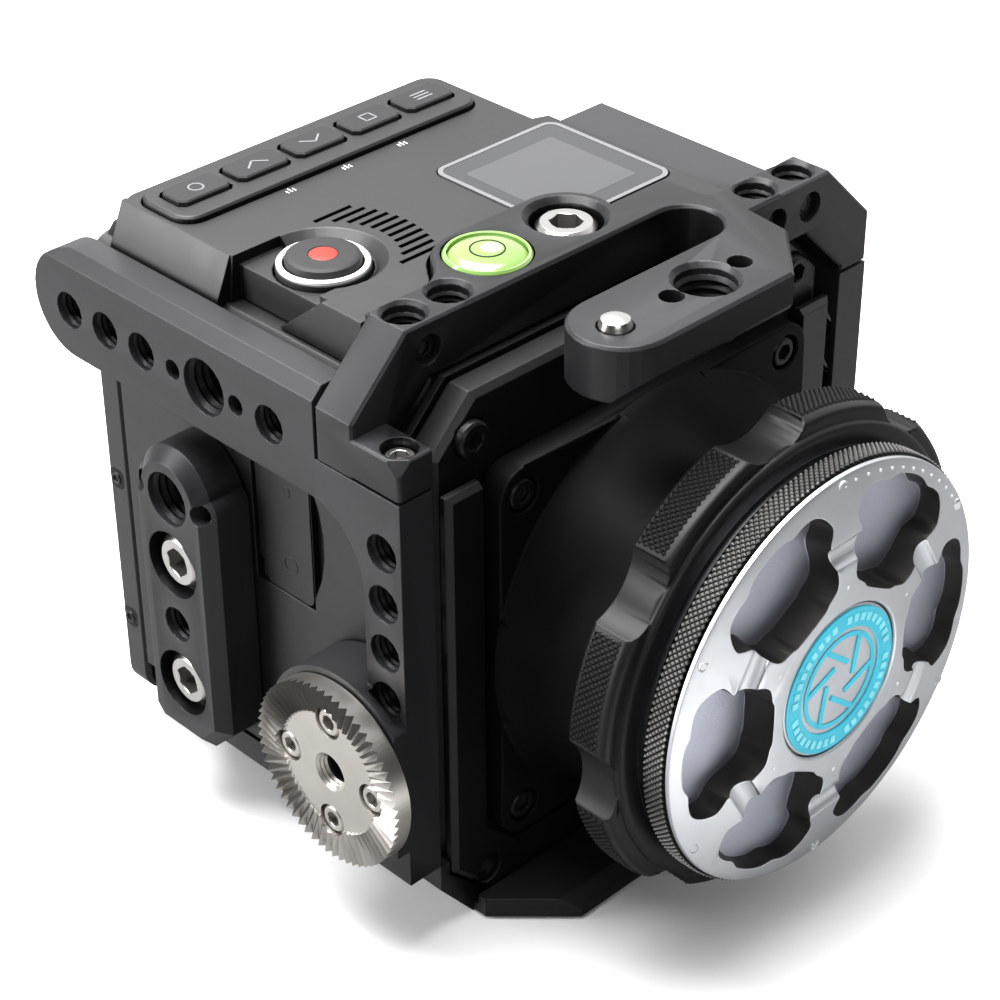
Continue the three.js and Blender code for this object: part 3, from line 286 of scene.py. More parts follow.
# ---------------------------------------------------------------- mesh tools
def new_piece(name, vertices, faces):
    mesh = bpy.data.meshes.new(name)
    mesh.from_pydata([[c * MM for c in v] for v in vertices], [], faces)
    shape = bmesh.new()
    shape.from_mesh(mesh)
    bmesh.ops.recalc_face_normals(shape, faces=shape.faces)
    shape.to_mesh(mesh)
    shape.free()
    piece = bpy.data.objects.new(name, mesh)
    bpy.context.collection.objects.link(piece)
    return piece


def along(axis, a, b, t):
    """A point from a drawing at (a, b) and a position t along the axis."""
    return {"x": (t, a, b), "y": (a, t, b), "z": (a, b, t)}[axis]


def across(axis, point):
    """Where a point lies in a drawing for the axis."""
    return {"x": (point.y, point.z), "y": (point.x, point.z), "z": (point.x, point.y)}[axis]


def prism(name, axis, outline, start, end):
    """A drawing extruded along an axis. A drawing for x is in (y, z), for y in (x, z), for z in (x, y)."""
    count = len(outline)
    vertices = [along(axis, a, b, t) for t in (start, end) for a, b in outline]
    sides = [(i, (i + 1) % count, (i + 1) % count + count, i + count) for i in range(count)]
    return new_piece(name, vertices, sides + [tuple(range(count)), tuple(range(count, 2 * count))])


def lathe(name, axis, centre, profile, segments=48):
    """A profile of (radius, position along the axis), open between two points on the axis or closed."""
    a, b = centre
    vertices, rings = [], []
    for radius, t in profile:
        if radius < 1e-6:
            rings.append([len(vertices)] * segments)
            vertices.append(along(axis, a, b, t))
            continue
        rings.append(list(range(len(vertices), len(vertices) + segments)))
        for i in range(segments):
            turn = 2 * math.pi * i / segments
            vertices.append(along(axis, a + radius * math.cos(turn), b + radius * math.sin(turn), t))
    pairs = list(zip(rings, rings[1:]))
    if profile[0][0] > 1e-6:
        pairs.append((rings[-1], rings[0]))
    faces = []
    for one, two in pairs:
        for i in range(segments):
            k = (i + 1) % segments
            corners = list(dict.fromkeys([one[i], one[k], two[k], two[i]]))
            if len(corners) > 2:
                faces.append(tuple(corners))
    return new_piece(name, vertices, faces)


def lens_lathe(name, profile, segments):
    return lathe(name, "y", (0, LENS), profile, segments)


def rod(name, axis, centre, start, end, radius, segments=32):
    return lathe(name, axis, centre, [(0, start), (radius, start), (radius, end), (0, end)], segments)


def polar(a, b, radius, degrees):
    """A point at a radius and an angle round (a, b)."""
    turn = math.radians(degrees)
    return a + radius * math.cos(turn), b + radius * math.sin(turn)


def arc(a, b, radius, start, end, count=12):
    """Points on an arc, in degrees."""
    return [polar(a, b, radius, start + (end - start) * i / count) for i in range(count + 1)]


def rounded(a0, b0, a1, b1, radius, count=6):
    """A rectangle with round corners."""
    corners = [
        (a1 - radius, b0 + radius, -90),
        (a1 - radius, b1 - radius, 0),
        (a0 + radius, b1 - radius, 90),
        (a0 + radius, b0 + radius, 180),
    ]
    return [p for a, b, start in corners for p in arc(a, b, radius, start, start + 90, count)]


def stroke(axis, points, width, start, end, past=0.0):
    """Raised bars along a line of points. Each goes past its ends by a share of its width."""
    bars = []
    for (a0, b0), (a1, b1) in zip(points, points[1:]):
        run = Vector((a1 - a0, b1 - b0)).normalized()
        side = Vector((-run.y, run.x)) * width / 2
        on = run * width * past
        quad = [
            (a0 - on.x + side.x, b0 - on.y + side.y),
            (a0 - on.x - side.x, b0 - on.y - side.y),
            (a1 + on.x - side.x, b1 + on.y - side.y),
            (a1 + on.x + side.x, b1 + on.y + side.y),
        ]
        bars.append(prism("bar", axis, quad, start, end))
    return bars


def modify(piece, kind, **settings):
    modifier = piece.modifiers.new(kind.lower(), kind)
    for name, value in settings.items():
        setattr(modifier, name, value)


def combine(piece, operation, tools):
    """Cuts or adds the tools, and makes the result the piece's own mesh."""
    for tool in tools:
        modify(piece, "BOOLEAN", operation=operation, solver="MANIFOLD", object=tool)
    graph = bpy.context.evaluated_depsgraph_get()
    mesh = bpy.data.meshes.new_from_object(piece.evaluated_get(graph))
    piece.modifiers.clear()
    piece.data = mesh
    for tool in tools:
        bpy.data.objects.remove(tool)
    return piece


def carve(piece, *tools):
    return combine(piece, "DIFFERENCE", tools)


def weld(piece, *others):
    return combine(piece, "UNION", others)


def join(name, pieces):
    """Several closed meshes as one piece."""
    shape = bmesh.new()
    for piece in pieces:
        shape.from_mesh(piece.data)
        bpy.data.objects.remove(piece)
    mesh = bpy.data.meshes.new(name)
    shape.to_mesh(mesh)
    shape.free()
    made = bpy.data.objects.new(name, mesh)
    bpy.context.collection.objects.link(made)
    return made


def soften(piece, width=0.0, segments=2, angle=31):
    """Smooth shading with crisp edges, and a real bevel where a width is given."""
    for polygon in piece.data.polygons:
        polygon.use_smooth = True
    edge_angle = math.radians(angle)
    modify(piece, "WELD", merge_threshold=0.004 * MM)
    if width:
        modify(piece, "DECIMATE", decimate_type="DISSOLVE", angle_limit=math.radians(0.6))
        modify(piece, "BEVEL", width=width * MM, segments=segments, limit_method="ANGLE",
               angle_limit=edge_angle, use_clamp_overlap=False)
        modify(piece, "WEIGHTED_NORMAL", weight=90)
    modify(piece, "EDGE_SPLIT", split_angle=edge_angle, use_edge_sharp=False)
    return piece


def put(piece, body, slot, *replaced, material=None):
    """Gives the piece its finish, its body and the CAD nodes that it replaces."""
    piece.data.materials.clear()
    piece.data.materials.append(material or MATERIALS[slot])
    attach(piece, body)
    if replaced:
        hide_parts(*replaced)
    return piece


# ---------------------------------------------------------------- carried-over CAD nodes
def dress_cad():
    slots = {entry["node"]: entry["material_slot"] for entry in frame["record"]["subparts"]}
    for name, node in NODES.items():
        slot = slots[name]
        node.data.materials.clear()
        # The door pin is drawn in the near-black of the hollows: painted shade.
        node.data.materials.append(SHADE_AND_PRINT_BLACK if name == "door_pin" else MATERIALS[slot])
        soften(node)


# ---------------------------------------------------------------- screws and threads
def screw_head(name, slot, axis, centre, face, inward, radius, height, tilt, *replaced):
    """A round head with a bevelled rim and a hexagon socket. `inward` is +1 or -1 along the axis."""
    rim = radius * 0.16
    head = lathe(name, axis, centre, [
        (0, face),
        (radius - rim, face),
        (radius, face + inward * rim),
        (radius, face + inward * height),
        (0, face + inward * height),
    ], 40)
    socket = radius * 0.56
    depth = min(height * 0.7, radius)
    hexagon = arc(*centre, socket, tilt, tilt + 300, 5)
    cone = lathe("cone", axis, centre, [
        (0, face - inward * 0.1),
        (socket * 1.02, face - inward * 0.1),
        (socket * 0.86, face + inward * 0.2),
        (0, face + inward * 0.2),
    ], 24)
    carve(head, prism("hexagon", axis, hexagon, face - inward, face + inward * depth), cone)
    put(head, "chassis", slot, *replaced)
    # Sockets of dark screws get the near-black, painted shade; those of steel screws get a darker steel.
    head.data.materials.append(SOCKET if slot in ("silver", "steel") else SHADE_AND_PRINT_BLACK)
    lengthwise = "xyz".index(axis)
    for polygon in head.data.polygons:
        point = polygon.center / MM
        sunk = (point[lengthwise] - face) * inward
        if 0.3 < sunk < depth + 0.05 and math.dist(across(axis, point), centre) < socket * 1.05:
            polygon.material_index = 1
    return soften(head, 0.08, 2, 40)


def cad_screw(node, name, slot, axis, radius, height, tilt=20):
    """A detailed head in a CAD screw's place. The screws go in from above, the left or the front."""
    lengthwise = "xyz".index(axis)
    face, inward = (high(node)[lengthwise], -1) if axis == "z" else (low(node)[lengthwise], 1)
    screw_head(name, slot, axis, across(axis, middle(node)), face, inward, radius, height, tilt, node)


def screws():
    for i in range(1, 5):
        cad_screw(f"rosette_screw_{i}", f"rosette_head_{i}", "steel", "x", 2.4, 1.6, 20 * i)
        cad_screw(f"mount_screw_{i}", f"mount_head_{i}", "anodised", "y", 2.6, 1.4, 25 * i)
        radius, height = (3, 3.6) if i < 3 else (2.6, 0.8)
        cad_screw(f"front_screw_{i}", f"front_head_{i}", "anodised", "y", radius, height, 35 * i)
    for name in ("bracket_screw_upper", "bracket_screw_lower"):
        cad_screw(name, name + "_head", "silver", "x", 4.7, 3.2)
    for name in ("plate_screw_left", "plate_screw_right"):
        cad_screw(name, name + "_head", "anodised", "y", 2.2, 1.8)
    cad_screw("top_fixing_screw", "fixing_head", "silver", "z", 4.9, 3.6, 12)
    cad_screw("corner_screw", "corner_head", "silver", "z", 2.5, 1.8, 5)


def thread(axis, centre, start, end, radius, pitch):
    """A threaded liner: a sleeve whose bore is a row of V grooves."""
    crest = radius - 0.62 * pitch * 0.72
    count = int((end - start) / pitch)
    profile = [(radius + 0.08, start), (radius + 0.08, start + count * pitch)]
    for i in range(count, 0, -1):
        profile.append((radius - 0.02, start + i * pitch))
        profile.append((crest, start + (i - 0.5) * pitch))
    profile.append((radius - 0.02, start))
    return lathe("thread", axis, centre, profile, 28)


def threads():
    quarter, eighths = 3.2, 4.8  # radii of the small and the large threads
    fine, coarse = 1.0, 1.4  # their pitches
    from_top, base = (96.4, TOP - 1.2), (0.5, 2.6)
    left, right = (-HALF + 0.9, -HALF + 6.2), (HALF - 6.2, HALF - 0.9)
    bracket = low("side_bracket").x
    beside = (bracket + 1, bracket + 8)
    made = [thread("z", place, *from_top, quarter, fine) for place in UPPER_HOLES]
    made.append(thread("z", ARM_BOLT, 96.4, TOP - 1.4, eighths, coarse))
    made += [thread("x", (y, BAR_Z), *left, quarter, fine) for y in BAR_HOLES]
    made += [thread("x", (POST_Y, z), *left, quarter, fine) for z in POST_HOLES]
    made.append(thread("x", (BAR_BOLT, BAR_Z), *left, eighths, coarse))
    made += [thread("x", (POST_Y, z), *right, quarter, fine) for z in POST_HOLES]
    made += [thread("x", (51, 40 + 12 * k), *right, quarter, fine) for k in range(3)]
    made += [thread("x", (20 + 10 * k, 22), *right, quarter, fine) for k in range(3)]
    made.append(thread("x", (BRACKET_Y, 62.7), *beside, eighths, coarse))
    made.append(thread("x", (BRACKET_Y, 38.3), *beside, quarter, fine))
    made += [thread("z", (0, y), *base, eighths, 0.9) for y in (16, 42)]
    made += [thread("z", (x, y), *base, quarter, 0.7) for x in (-16, 16) for y in (16, 42)]
    put(soften(join("threads", made)), "chassis", "anodised")


# ---------------------------------------------------------------- rosette
def rosette():
    teeth, rim, root, bore = 60, 15.875, 10.7, 2.9
    tip = 1.2  # height of a tooth
    back, face = high("rosette").x, low("rosette").x + tip
    steps = 2 * teeth
    cy, cz = ROSETTE.y, ROSETTE.z
    vertices, faces = [], []

    def ring(radius, height):
        start = len(vertices)
        for i in range(steps):
            vertices.append((height(i), *polar(cy, cz, radius, 360 * i / steps)))
        return list(range(start, start + steps))

    rings = [
        ring(bore, lambda i: back),
        ring(rim, lambda i: back),
        ring(rim, lambda i: face - (tip - 0.1 if i % 2 else 0.05)),
        ring(root, lambda i: face - (0.42 if i % 2 else 0.0)),
        ring(root - 0.3, lambda i: face),
        ring(bore + 0.5, lambda i: face),
        ring(bore, lambda i: face + 0.5),
    ]
    for one, two in zip(rings, rings[1:] + rings[:1]):
        for i in range(steps):
            k = (i + 1) % steps
            faces.append((one[i], one[k], two[k], two[i]))
    disc = new_piece("rosette_disc", vertices, faces)
    seats = []
    for i in range(1, 5):
        profile = [(0, face - 1), (2.85, face - 1), (2.75, face + 0.1), (2.65, back - 0.9), (0, back - 0.9)]
        seats.append(lathe("seat", "x", across("x", middle(f"rosette_screw_{i}")), profile, 32))
    carve(disc, *seats)
    soften(disc)
    put(disc, "chassis", "steel", "rosette")
    disc.data.materials.append(TOOTH_SHADE)
    # Painted shade: the flanks that lean one way get the dark steel, as if turned away from the light.
    for polygon in disc.data.polygons:
        polygon.use_smooth = False
        point = polygon.center / MM
        aside, up = point.y - cy, point.z - cz
        leaning = polygon.normal.z * aside - polygon.normal.y * up
        if root < math.hypot(aside, up) < rim - 0.1 and polygon.normal.x < -0.2 and leaning > 1.0:
            polygon.material_index = 1
    liner = thread("x", (cy, cz), face + 0.6, back, bore + 0.05, 0.8)
    liner.name = "rosette_thread"
    put(soften(liner), "chassis", "steel")


# ---------------------------------------------------------------- knurling
def knurl(name, radius, start, end, first, last, pitch, height):
    """A band round the lens axis whose outside is diamond knurling, from one angle to another."""
    full = last - first >= 360
    columns = 2 * max(2, round(math.radians(last - first) * radius / pitch))
    rows = 2 * max(1, round((end - start) / pitch))
    inner = radius - 1.2
    width = columns if full else columns + 1
    turns = [first + (last - first) * i / columns for i in range(width)]
    vertices, faces = [], []

    def corner(r, turn, y):
        a, b = polar(0, LENS, r, turn)
        vertices.append((a, y, b))

    for j in range(rows + 1):
        for i, turn in enumerate(turns):
            edge = j in (0, rows) or (not full and i in (0, columns))
            sunk = 1.6 if edge else (i + j) % 2
            corner(radius - height * sunk, turn, start + (end - start) * j / rows)
    near = len(vertices)
    far = near + width
    for y in (start, end):
        for turn in turns:
            corner(inner, turn, y)
    for i in range(columns):
        k = (i + 1) % width
        for j in range(rows):
            a, b, c, d = j * width + i, j * width + k, (j + 1) * width + k, (j + 1) * width + i
            if (i + j) % 2 == 0:
                faces += [(a, b, d), (b, c, d)]
            else:
                faces += [(a, b, c), (a, c, d)]
        faces.append((i, k, near + k, near + i))
        faces.append((rows * width + i, rows * width + k, far + k, far + i))
        faces.append((near + i, near + k, far + k, far + i))
    if not full:
        for i in (0, columns):
            column = [j * width + i for j in range(rows + 1)]
            faces.append(tuple(column + [far + i, near + i]))
    return new_piece(name, vertices, faces)


# ---------------------------------------------------------------- lock ring
RING_BACK, RING_FRONT = high("lock_ring").y, low("lock_ring").y
LOBES, LOBE_TURN = 8, 7.0  # the middle of the first scallop, in degrees
LOBE_TIP, VALLEY, SCOOP = 41.2, 38.0, 9.5
LOBE_MARGIN = 9.3  # half the angle that a scallop takes from the ring's edge
RING_BORE = 31.5
RING_KNURL = 0.38  # depth of the knurling


def lock_ring():
    y0, y1 = RING_BACK, RING_FRONT + 1.1
    body = lens_lathe("lock_ring_body", [
        (RING_BORE, y0),
        (40.6, y0),
        (LOBE_TIP - 0.25, y0 - 0.6),
        (LOBE_TIP - 0.25, y1 + 1.2),
        (40.5, y1 + 0.35),
        (39.6, y1),
        (RING_BORE, y1),
    ], 192)
    starts = [LOBE_TURN + 360 / LOBES * i for i in range(LOBES)]
    scoops = []
    for start in starts:
        centre = polar(0, LENS, VALLEY + SCOOP, start)
        scoops.append(rod("scoop", "y", centre, y0 + 1, y1 - 1, SCOOP, 96))
    carve(body, *scoops)
    flange = lens_lathe("flange", [
        (RING_BORE, y1 + 2),
        (37.6, y1 + 2),
        (38.4, y1 + 0.4),
        (38.5, y1 - 0.3),
        (38.1, y1 - 0.8),
        (37.2, RING_FRONT + 0.06),
        (34.9, RING_FRONT),
        (34.5, RING_FRONT + 0.3),
        (34.4, RING_FRONT + 2.2),
        (RING_BORE, RING_FRONT + 2.4),
    ], 160)
    weld(body, flange)
    soften(body, 0.18, 2, 30)
    put(body, "ring", "body_black", "lock_ring", material=RING_BLACK)
    radius = LOBE_TIP + 0.15
    patches = []
    for start in starts:
        first, last = start + LOBE_MARGIN, start + 360 / LOBES - LOBE_MARGIN
        patches.append(knurl("patch", radius, y1 + 1.3, y0 - 0.35, first, last, 1.12, RING_KNURL))
    # Painted shade in the lock ring's knurl valleys.
    shaded_grooves(RING_GRIP, radius, RING_KNURL, (0.001, 0.001, 0.001))
    put(join("lock_ring_knurl", patches), "ring", "body_black", material=RING_GRIP)


# ---------------------------------------------------------------- lens-mount adapter
def adapter():
    back, face, end = high("mount_adapter").y, -2.5, low("mount_adapter").y
    half = 34.6  # half of the square foot's width
    foot = rounded(-half, LENS - half, half, LENS + half, 5, 8)
    body = prism("adapter_body", "y", foot, back, face)
    neck = lens_lathe("neck", [
        (0, face + 0.5),
        (36, face + 0.5),
        (35.2, face - 1.5),
        (33.9, -7),
        (32.9, -13),
        (32.3, -19),
        (32, -20.4),
        (31.1, -20.9),
        (31, end),
        (0, end),
    ], 128)
    bore = lens_lathe("bore", [
        (0, end - 1),
        (27.8, end - 1),
        (27.2, end + 0.4),
        (27.2, -24),
        (26.4, -23.4),
        (26.4, -9),
        (24, -8),
        (24, back + 1),
        (0, back + 1),
    ], 128)
    weld(body, neck)
    seats = []
    for i in range(1, 5):
        place = across("y", middle(f"mount_screw_{i}"))
        seats.append(rod("seat", "y", place, face - 6, face + 1.5, 3.0))
    carve(body, bore, *seats)
    soften(body, 0.35, 3, 30)
    # The whole adapter body takes the darker neck finish, painted shade.
    put(body, "chassis", "body_black", "mount_adapter", material=SHADED_NECK)
    plate = lens_lathe("mount_seat", [
        (27.3, end + 0.5),
        (30.6, end + 0.5),
        (30.6, end - 0.06),
        (30.3, end - 0.14),
        (27.6, end - 0.14),
        (27.3, end),
    ], 128)
    put(soften(plate), "chassis", "steel")


# ---------------------------------------------------------------- body cap
CAP_RIM = 36.2
CAP_FRONT, CAP_BACK = -37.2, -32.9
CAP_KNURL = 0.42  # depth of the knurling
HUB_FACE = low("body_cap").y
HUB_RADIUS, EDGE_RADIUS, EDGE_FACE = 14.6, 34.6, -38.15  # the domed face ends at these
POCKET_FLOOR = -35.2
# Half of a pocket's edge, from its outer middle to its inner middle: (degrees off its centre line, radius).
POCKET_EDGE = [
    (0, 33.3), (6, 33.1), (10, 32.3), (14, 32.5), (18, 32.3), (21.5, 31), (24.2, 28.8), (23.4, 27.2),
    (22, 26), (22.2, 24), (23.4, 22), (24, 19.6), (22.6, 18), (18.6, 17.1), (15.5, 16.6), (12.5, 15.9),
    (6, 15.5), (0, 15.4),
]


def pocket_outline(centre, grow=0.0):
    """A smooth closed curve through the pocket's points and their mirror image."""
    points = [(-a, r) for a, r in POCKET_EDGE] + [(a, r) for a, r in POCKET_EDGE[-2:0:-1]]
    flat = [Vector(polar(0, LENS, r, centre + a)) for a, r in points]
    count, smooth = len(flat), []
    for i in range(count):
        p0, p1, p2, p3 = (flat[(i + k) % count] for k in (-1, 0, 1, 2))
        for t in (0, 1 / 3, 2 / 3):
            smooth.append(0.5 * (
                2 * p1 + (p2 - p0) * t + (2 * p0 - 5 * p1 + 4 * p2 - p3) * t * t
                + (3 * p1 - p0 - 3 * p2 + p3) * t * t * t
            ))
    heart = Vector(polar(0, LENS, 24.4, centre))
    return [tuple(p + (p - heart).normalized() * grow) for p in smooth]


def loft(name, outlines):
    """A closed solid through outlines of equal length: [(outline, y), ...]."""
    count = len(outlines[0][0])
    vertices = [(a, y, b) for outline, y in outlines for a, b in outline]
    faces = [tuple(range(count)), tuple(range((len(outlines) - 1) * count, len(outlines) * count))]
    for base in range(0, (len(outlines) - 1) * count, count):
        for i in range(count):
            k = (i + 1) % count
            faces.append((base + i, base + k, base + k + count, base + i + count))
    return new_piece(name, vertices, faces)


def face_height(radius):
    """Position along Y of the cap's domed face at a radius."""
    share = min(1.0, max(0.0, (EDGE_RADIUS - radius) / (EDGE_RADIUS - HUB_RADIUS)))
    return EDGE_FACE + (HUB_FACE - EDGE_FACE) * math.sin(share * math.pi / 2)


def saddle(turn):
    """The groove across a spoke of the cap, at an angle in degrees."""
    tool = rod("saddle", "y", (0, 0), -5, 5, 2.6, 40)
    angle = math.radians(turn)
    tangent = Vector((-math.sin(angle), 0, math.cos(angle)))
    tool.data.transform(Vector((0, 1, 0)).rotation_difference(tangent).to_matrix().to_4x4())
    a, b = polar(0, LENS, 23.4, turn)
    tool.data.transform(Matrix.Translation(Vector((a, -41.6, b)) * MM))
    return tool


def body_cap():
    dome = [(r, face_height(r)) for r in (HUB_RADIUS, 17, 20, 23, 26, 29, 32, EDGE_RADIUS)]
    disc = lens_lathe("cap_disc", [(0, HUB_FACE), *dome,
        (35.5, -37.9),
        (35.5, CAP_BACK),
        (33.6, CAP_BACK),
        (33.6, -29.2),
        (26.7, -29.2),
        (26.7, -22.4),
        (26.3, -22),
        (23.6, -22),
        (23.2, -22.4),
        (23.2, -32.6),
        (0, -32.6),
    ], 160)
    ahead = -44  # well in front of the cap
    tools = [lens_lathe("badge_seat", [
        (0, ahead),
        (13.5, ahead),
        (13.5, HUB_FACE - 0.1),
        (13.1, HUB_FACE + 0.3),
        (13.1, HUB_FACE + 1.5),
        (0, HUB_FACE + 1.5),
    ], 96)]
    for turn in range(0, 360, 60):
        tools.append(loft("pocket", [
            (pocket_outline(turn, -0.5), POCKET_FLOOR),
            (pocket_outline(turn, -0.1), -38.1),
            (pocket_outline(turn), ahead),
        ]))
        tools.append(saddle(turn + 30))
    carve(disc, *tools)
    put(disc, "cap", "cap_grey", "body_cap")
    disc.data.materials.append(POCKET)
    disc.data.materials.append(POCKET_WALL_SHADE)
    # Pocket floors get the blasted metal; pocket walls get the dark metal, painted shade.
    for polygon in disc.data.polygons:
        centre = polygon.center / MM
        if 14 < math.hypot(centre.x, centre.z - LENS) < 34 and centre.y < -33:
            if abs(centre.y - POCKET_FLOOR) < 0.2:
                polygon.material_index = 1
            elif abs(polygon.normal.y) < 0.5 and centre.y < -34:
                polygon.material_index = 2
    soften(disc, 0.22, 2, 28)
    band = knurl("cap_knurl", CAP_RIM, CAP_FRONT, CAP_BACK, 0, 360, 1.14, CAP_KNURL)
    # Painted shade in the cap's knurl valleys.
    shaded_grooves(CAP_GRIP, CAP_RIM, CAP_KNURL, (0.01, 0.01, 0.01))
    put(band, "cap", "cap_grey", material=CAP_GRIP)
    cap_marks()
    medallion()


def cap_marks():
    """Turn arrows, a padlock and a row of dots near the rim, and dots round the hub."""
    outer, inner = 34.0, 17.2  # radii of the marks
    y = face_height(outer)
    back, front = y + 0.3, y - 0.12
    parts = []
    for angle in (90, 150, 210, 270, 330):
        ring = arc(*polar(0, LENS, outer, angle), 0.75, angle - 40, angle + 230, 12)
        parts += stroke("y", ring, 0.26, back, front, 0.3)
        parts.append(rod("tip", "y", ring[-1], back, front, 0.3, 12))
    a, b = polar(0, LENS, outer, 30)
    parts.append(prism("lock", "y", rounded(a - 0.85, b - 0.8, a + 0.85, b + 0.5, 0.2, 3), back, front))
    parts += stroke("y", arc(a, b + 0.5, 0.5, 0, 180, 8), 0.24, back, front, 0.3)
    for angle in range(85, 30, -5):
        parts.append(rod("dot", "y", polar(0, LENS, outer, angle), back, front, 0.26, 14))
    y = face_height(inner)
    for angle in range(30, 360, 60):
        parts.append(rod("dot", "y", polar(0, LENS, inner, angle), y + 0.3, y - 0.08, 0.3, 14))
    put(join("cap_marks", parts), "cap", "cap_grey", material=LIGHT_MARK)


def medallion():
    """A blue ring round a grey disc with a plain iris drawing."""
    y = HUB_FACE
    disc = lens_lathe("medallion_disc", [
        (0, y + 1.3), (12.9, y + 1.3), (12.9, y + 0.5), (12.7, y + 0.35), (0, y + 0.35),
    ], 96)
    put(soften(disc, 0.05), "cap", "cap_grey", "cap_medallion")
    ring = lens_lathe("medallion_ring", [
        (9.1, y + 0.6), (12.5, y + 0.6), (12.5, y + 0.15), (12.35, y + 0.05), (9.25, y + 0.05),
        (9.1, y + 0.15),
    ], 96)
    put(soften(ring), "cap", "badge")
    dashes = []
    for i in range(40):
        if i % 10 == 0:
            continue
        start, end = 9 * i + 1.4, 9 * i + 7.0
        outline = arc(0, LENS, 11.5, start, end, 3) + arc(0, LENS, 10.2, end, start, 3)
        dashes.append(prism("dash", "y", outline, y + 0.2, y - 0.12))
    put(join("medallion_dashes", dashes), "cap", "badge", material=BADGE_LIGHT)
    blades = []
    for angle in range(0, 360, 60):
        line = [polar(0, LENS, 3.1, angle), polar(0, LENS, 7.6, angle + 57.03)]
        blades += stroke("y", line, 0.9, y + 0.65, y + 0.15, 0.3)
    blades.append(lens_lathe("iris_rim", [
        (7.5, y + 0.5), (8.3, y + 0.5), (8.3, y + 0.18), (7.5, y + 0.18),
    ], 72))
    put(join("medallion_iris", blades), "cap", "badge")


# ---------------------------------------------------------------- controls
def key_symbols():
    """Each key's plain symbol: the lines, from the key's middle, and their width."""
    up = [(-2.1, -0.9), (0, 0.9), (2.1, -0.9)]
    down = [(a, -b) for a, b in up]
    square = [(-1.1, -1.1), (1.1, -1.1), (1.1, 1.1), (-1.1, 1.1), (-1.1, -1.1)]
    bars = [[(-1.7, b), (1.7, b)] for b in (-0.95, 0, 0.95)]
    return {
        "select": ([arc(0, 0, 1.2, 0, 360, 20)], 0.3),
        "up": ([up], 0.32),
        "down": ([down], 0.32),
        "function": ([square], 0.3),
        "menu": (bars, 0.32),
    }


def keys():
    """The keys' symbols, and three groups of tick marks in front of the pad."""
    z = high("key_up").z
    for key, (lines, width) in key_symbols().items():
        x, y, _ = middle("key_" + key)
        parts = []
        for line in lines:
            parts += stroke("z", [(x + a, y + b) for a, b in line], width, z - 0.05, z + 0.03)
        put(join(f"key_{key}_mark", parts), key + "_key", "rubber", material=KEY_MARK)
    ticks = []
    for x in (-21.2, -9.3, 2.75):
        for k in (-1, 0, 1):
            centre = x + 0.7 * k
            tick = rounded(centre - 0.12, 57.7, centre + 0.12, 58.7 + 0.4 * (k == 0), 0.1, 2)
            ticks.append(prism("tick", "z", tick, DECK - 0.05, DECK + 0.02))
    put(join("pad_ticks", ticks), "chassis", "body_black", material=LIGHT_MARK)


def record_control():
    """A round button with a red dot, in a dark skirt with a white ring."""
    place = across("z", RECORD)
    bottom, top = low("record_button").z, high("record_button").z
    cap = lathe("record_cap", "z", place, [
        (0, bottom),
        (5.95, bottom),
        (5.95, top - 0.75),
        (5.75, top - 0.3),
        (5.3, top - 0.04),
        (4.9, top),
        (2.4, top),
        (2.25, top - 0.16),
        (0, top - 0.16),
    ], 72)
    put(soften(cap), "record", "rubber", "record_button")
    dot = lathe("record_dot", "z", place, [
        (0, top - 0.5), (2.2, top - 0.5), (2.2, top - 0.1), (1.9, top), (0, top + 0.02),
    ], 40)
    put(soften(dot), "record", "rubber", material=RED)
    base, rim = low("record_ring").z, high("record_ring").z
    skirt = lathe("record_skirt", "z", place, [
        (0, base),
        (7.4, base),
        (7.4, rim - 0.75),
        (7.2, rim - 0.6),
        (6.3, rim - 0.6),
        (6.3, base + 0.8),
        (0, base + 0.8),
    ], 72)
    put(soften(skirt), "chassis", "white", "record_ring", material=MATERIALS["rubber"])
    halo = lathe("record_halo", "z", place, [
        (6.3, rim - 0.7), (7.22, rim - 0.7), (7.22, rim - 0.2), (7.05, rim), (6.5, rim), (6.3, rim - 0.2),
    ], 72)
    put(soften(halo), "chassis", "white")


def level():
    """A clear cup, the liquid with its circle, and the bubble."""
    x, y = across("z", middle("level_cup"))
    base, top = low("level_cup").z, high("level_cup").z
    cup = lathe("level_rim", "z", (x, y), [
        (0, base),
        (6.9, base),
        (6.9, top - 0.5),
        (6.6, top - 0.1),
        (6.2, top - 0.2),
        (6.2, base + 1),
        (0, base + 1),
    ], 72)
    put(soften(cup), "chassis", "aluminium", "level_cup", material=CLEAR)
    dome = high("level_vial").z
    liquid = lathe("level_liquid", "z", (x, y), [
        (0, base + 1.1),
        (6.1, base + 1.1),
        (6.1, dome - 1.3),
        (5.5, dome - 0.75),
        (4.2, dome - 0.35),
        (2, dome - 0.08),
        (0, dome),
    ], 72)
    put(soften(liquid), "chassis", "liquid", "level_vial")
    ring = lathe("level_circle", "z", (x, y), [
        (2.55, dome - 0.5), (2.8, dome - 0.5), (2.8, dome - 0.1), (2.55, dome - 0.08),
    ], 48)
    put(soften(ring), "chassis", "liquid", material=SHADE_AND_PRINT_BLACK)
    air = lathe("level_bubble", "z", (x + 0.5, y - 0.3), [
        (0, dome - 0.3), (1.7, dome - 0.3), (1.6, dome - 0.02), (1.0, dome + 0.08), (0, dome + 0.12),
    ], 36)
    put(soften(air), "chassis", "liquid", material=BUBBLE)


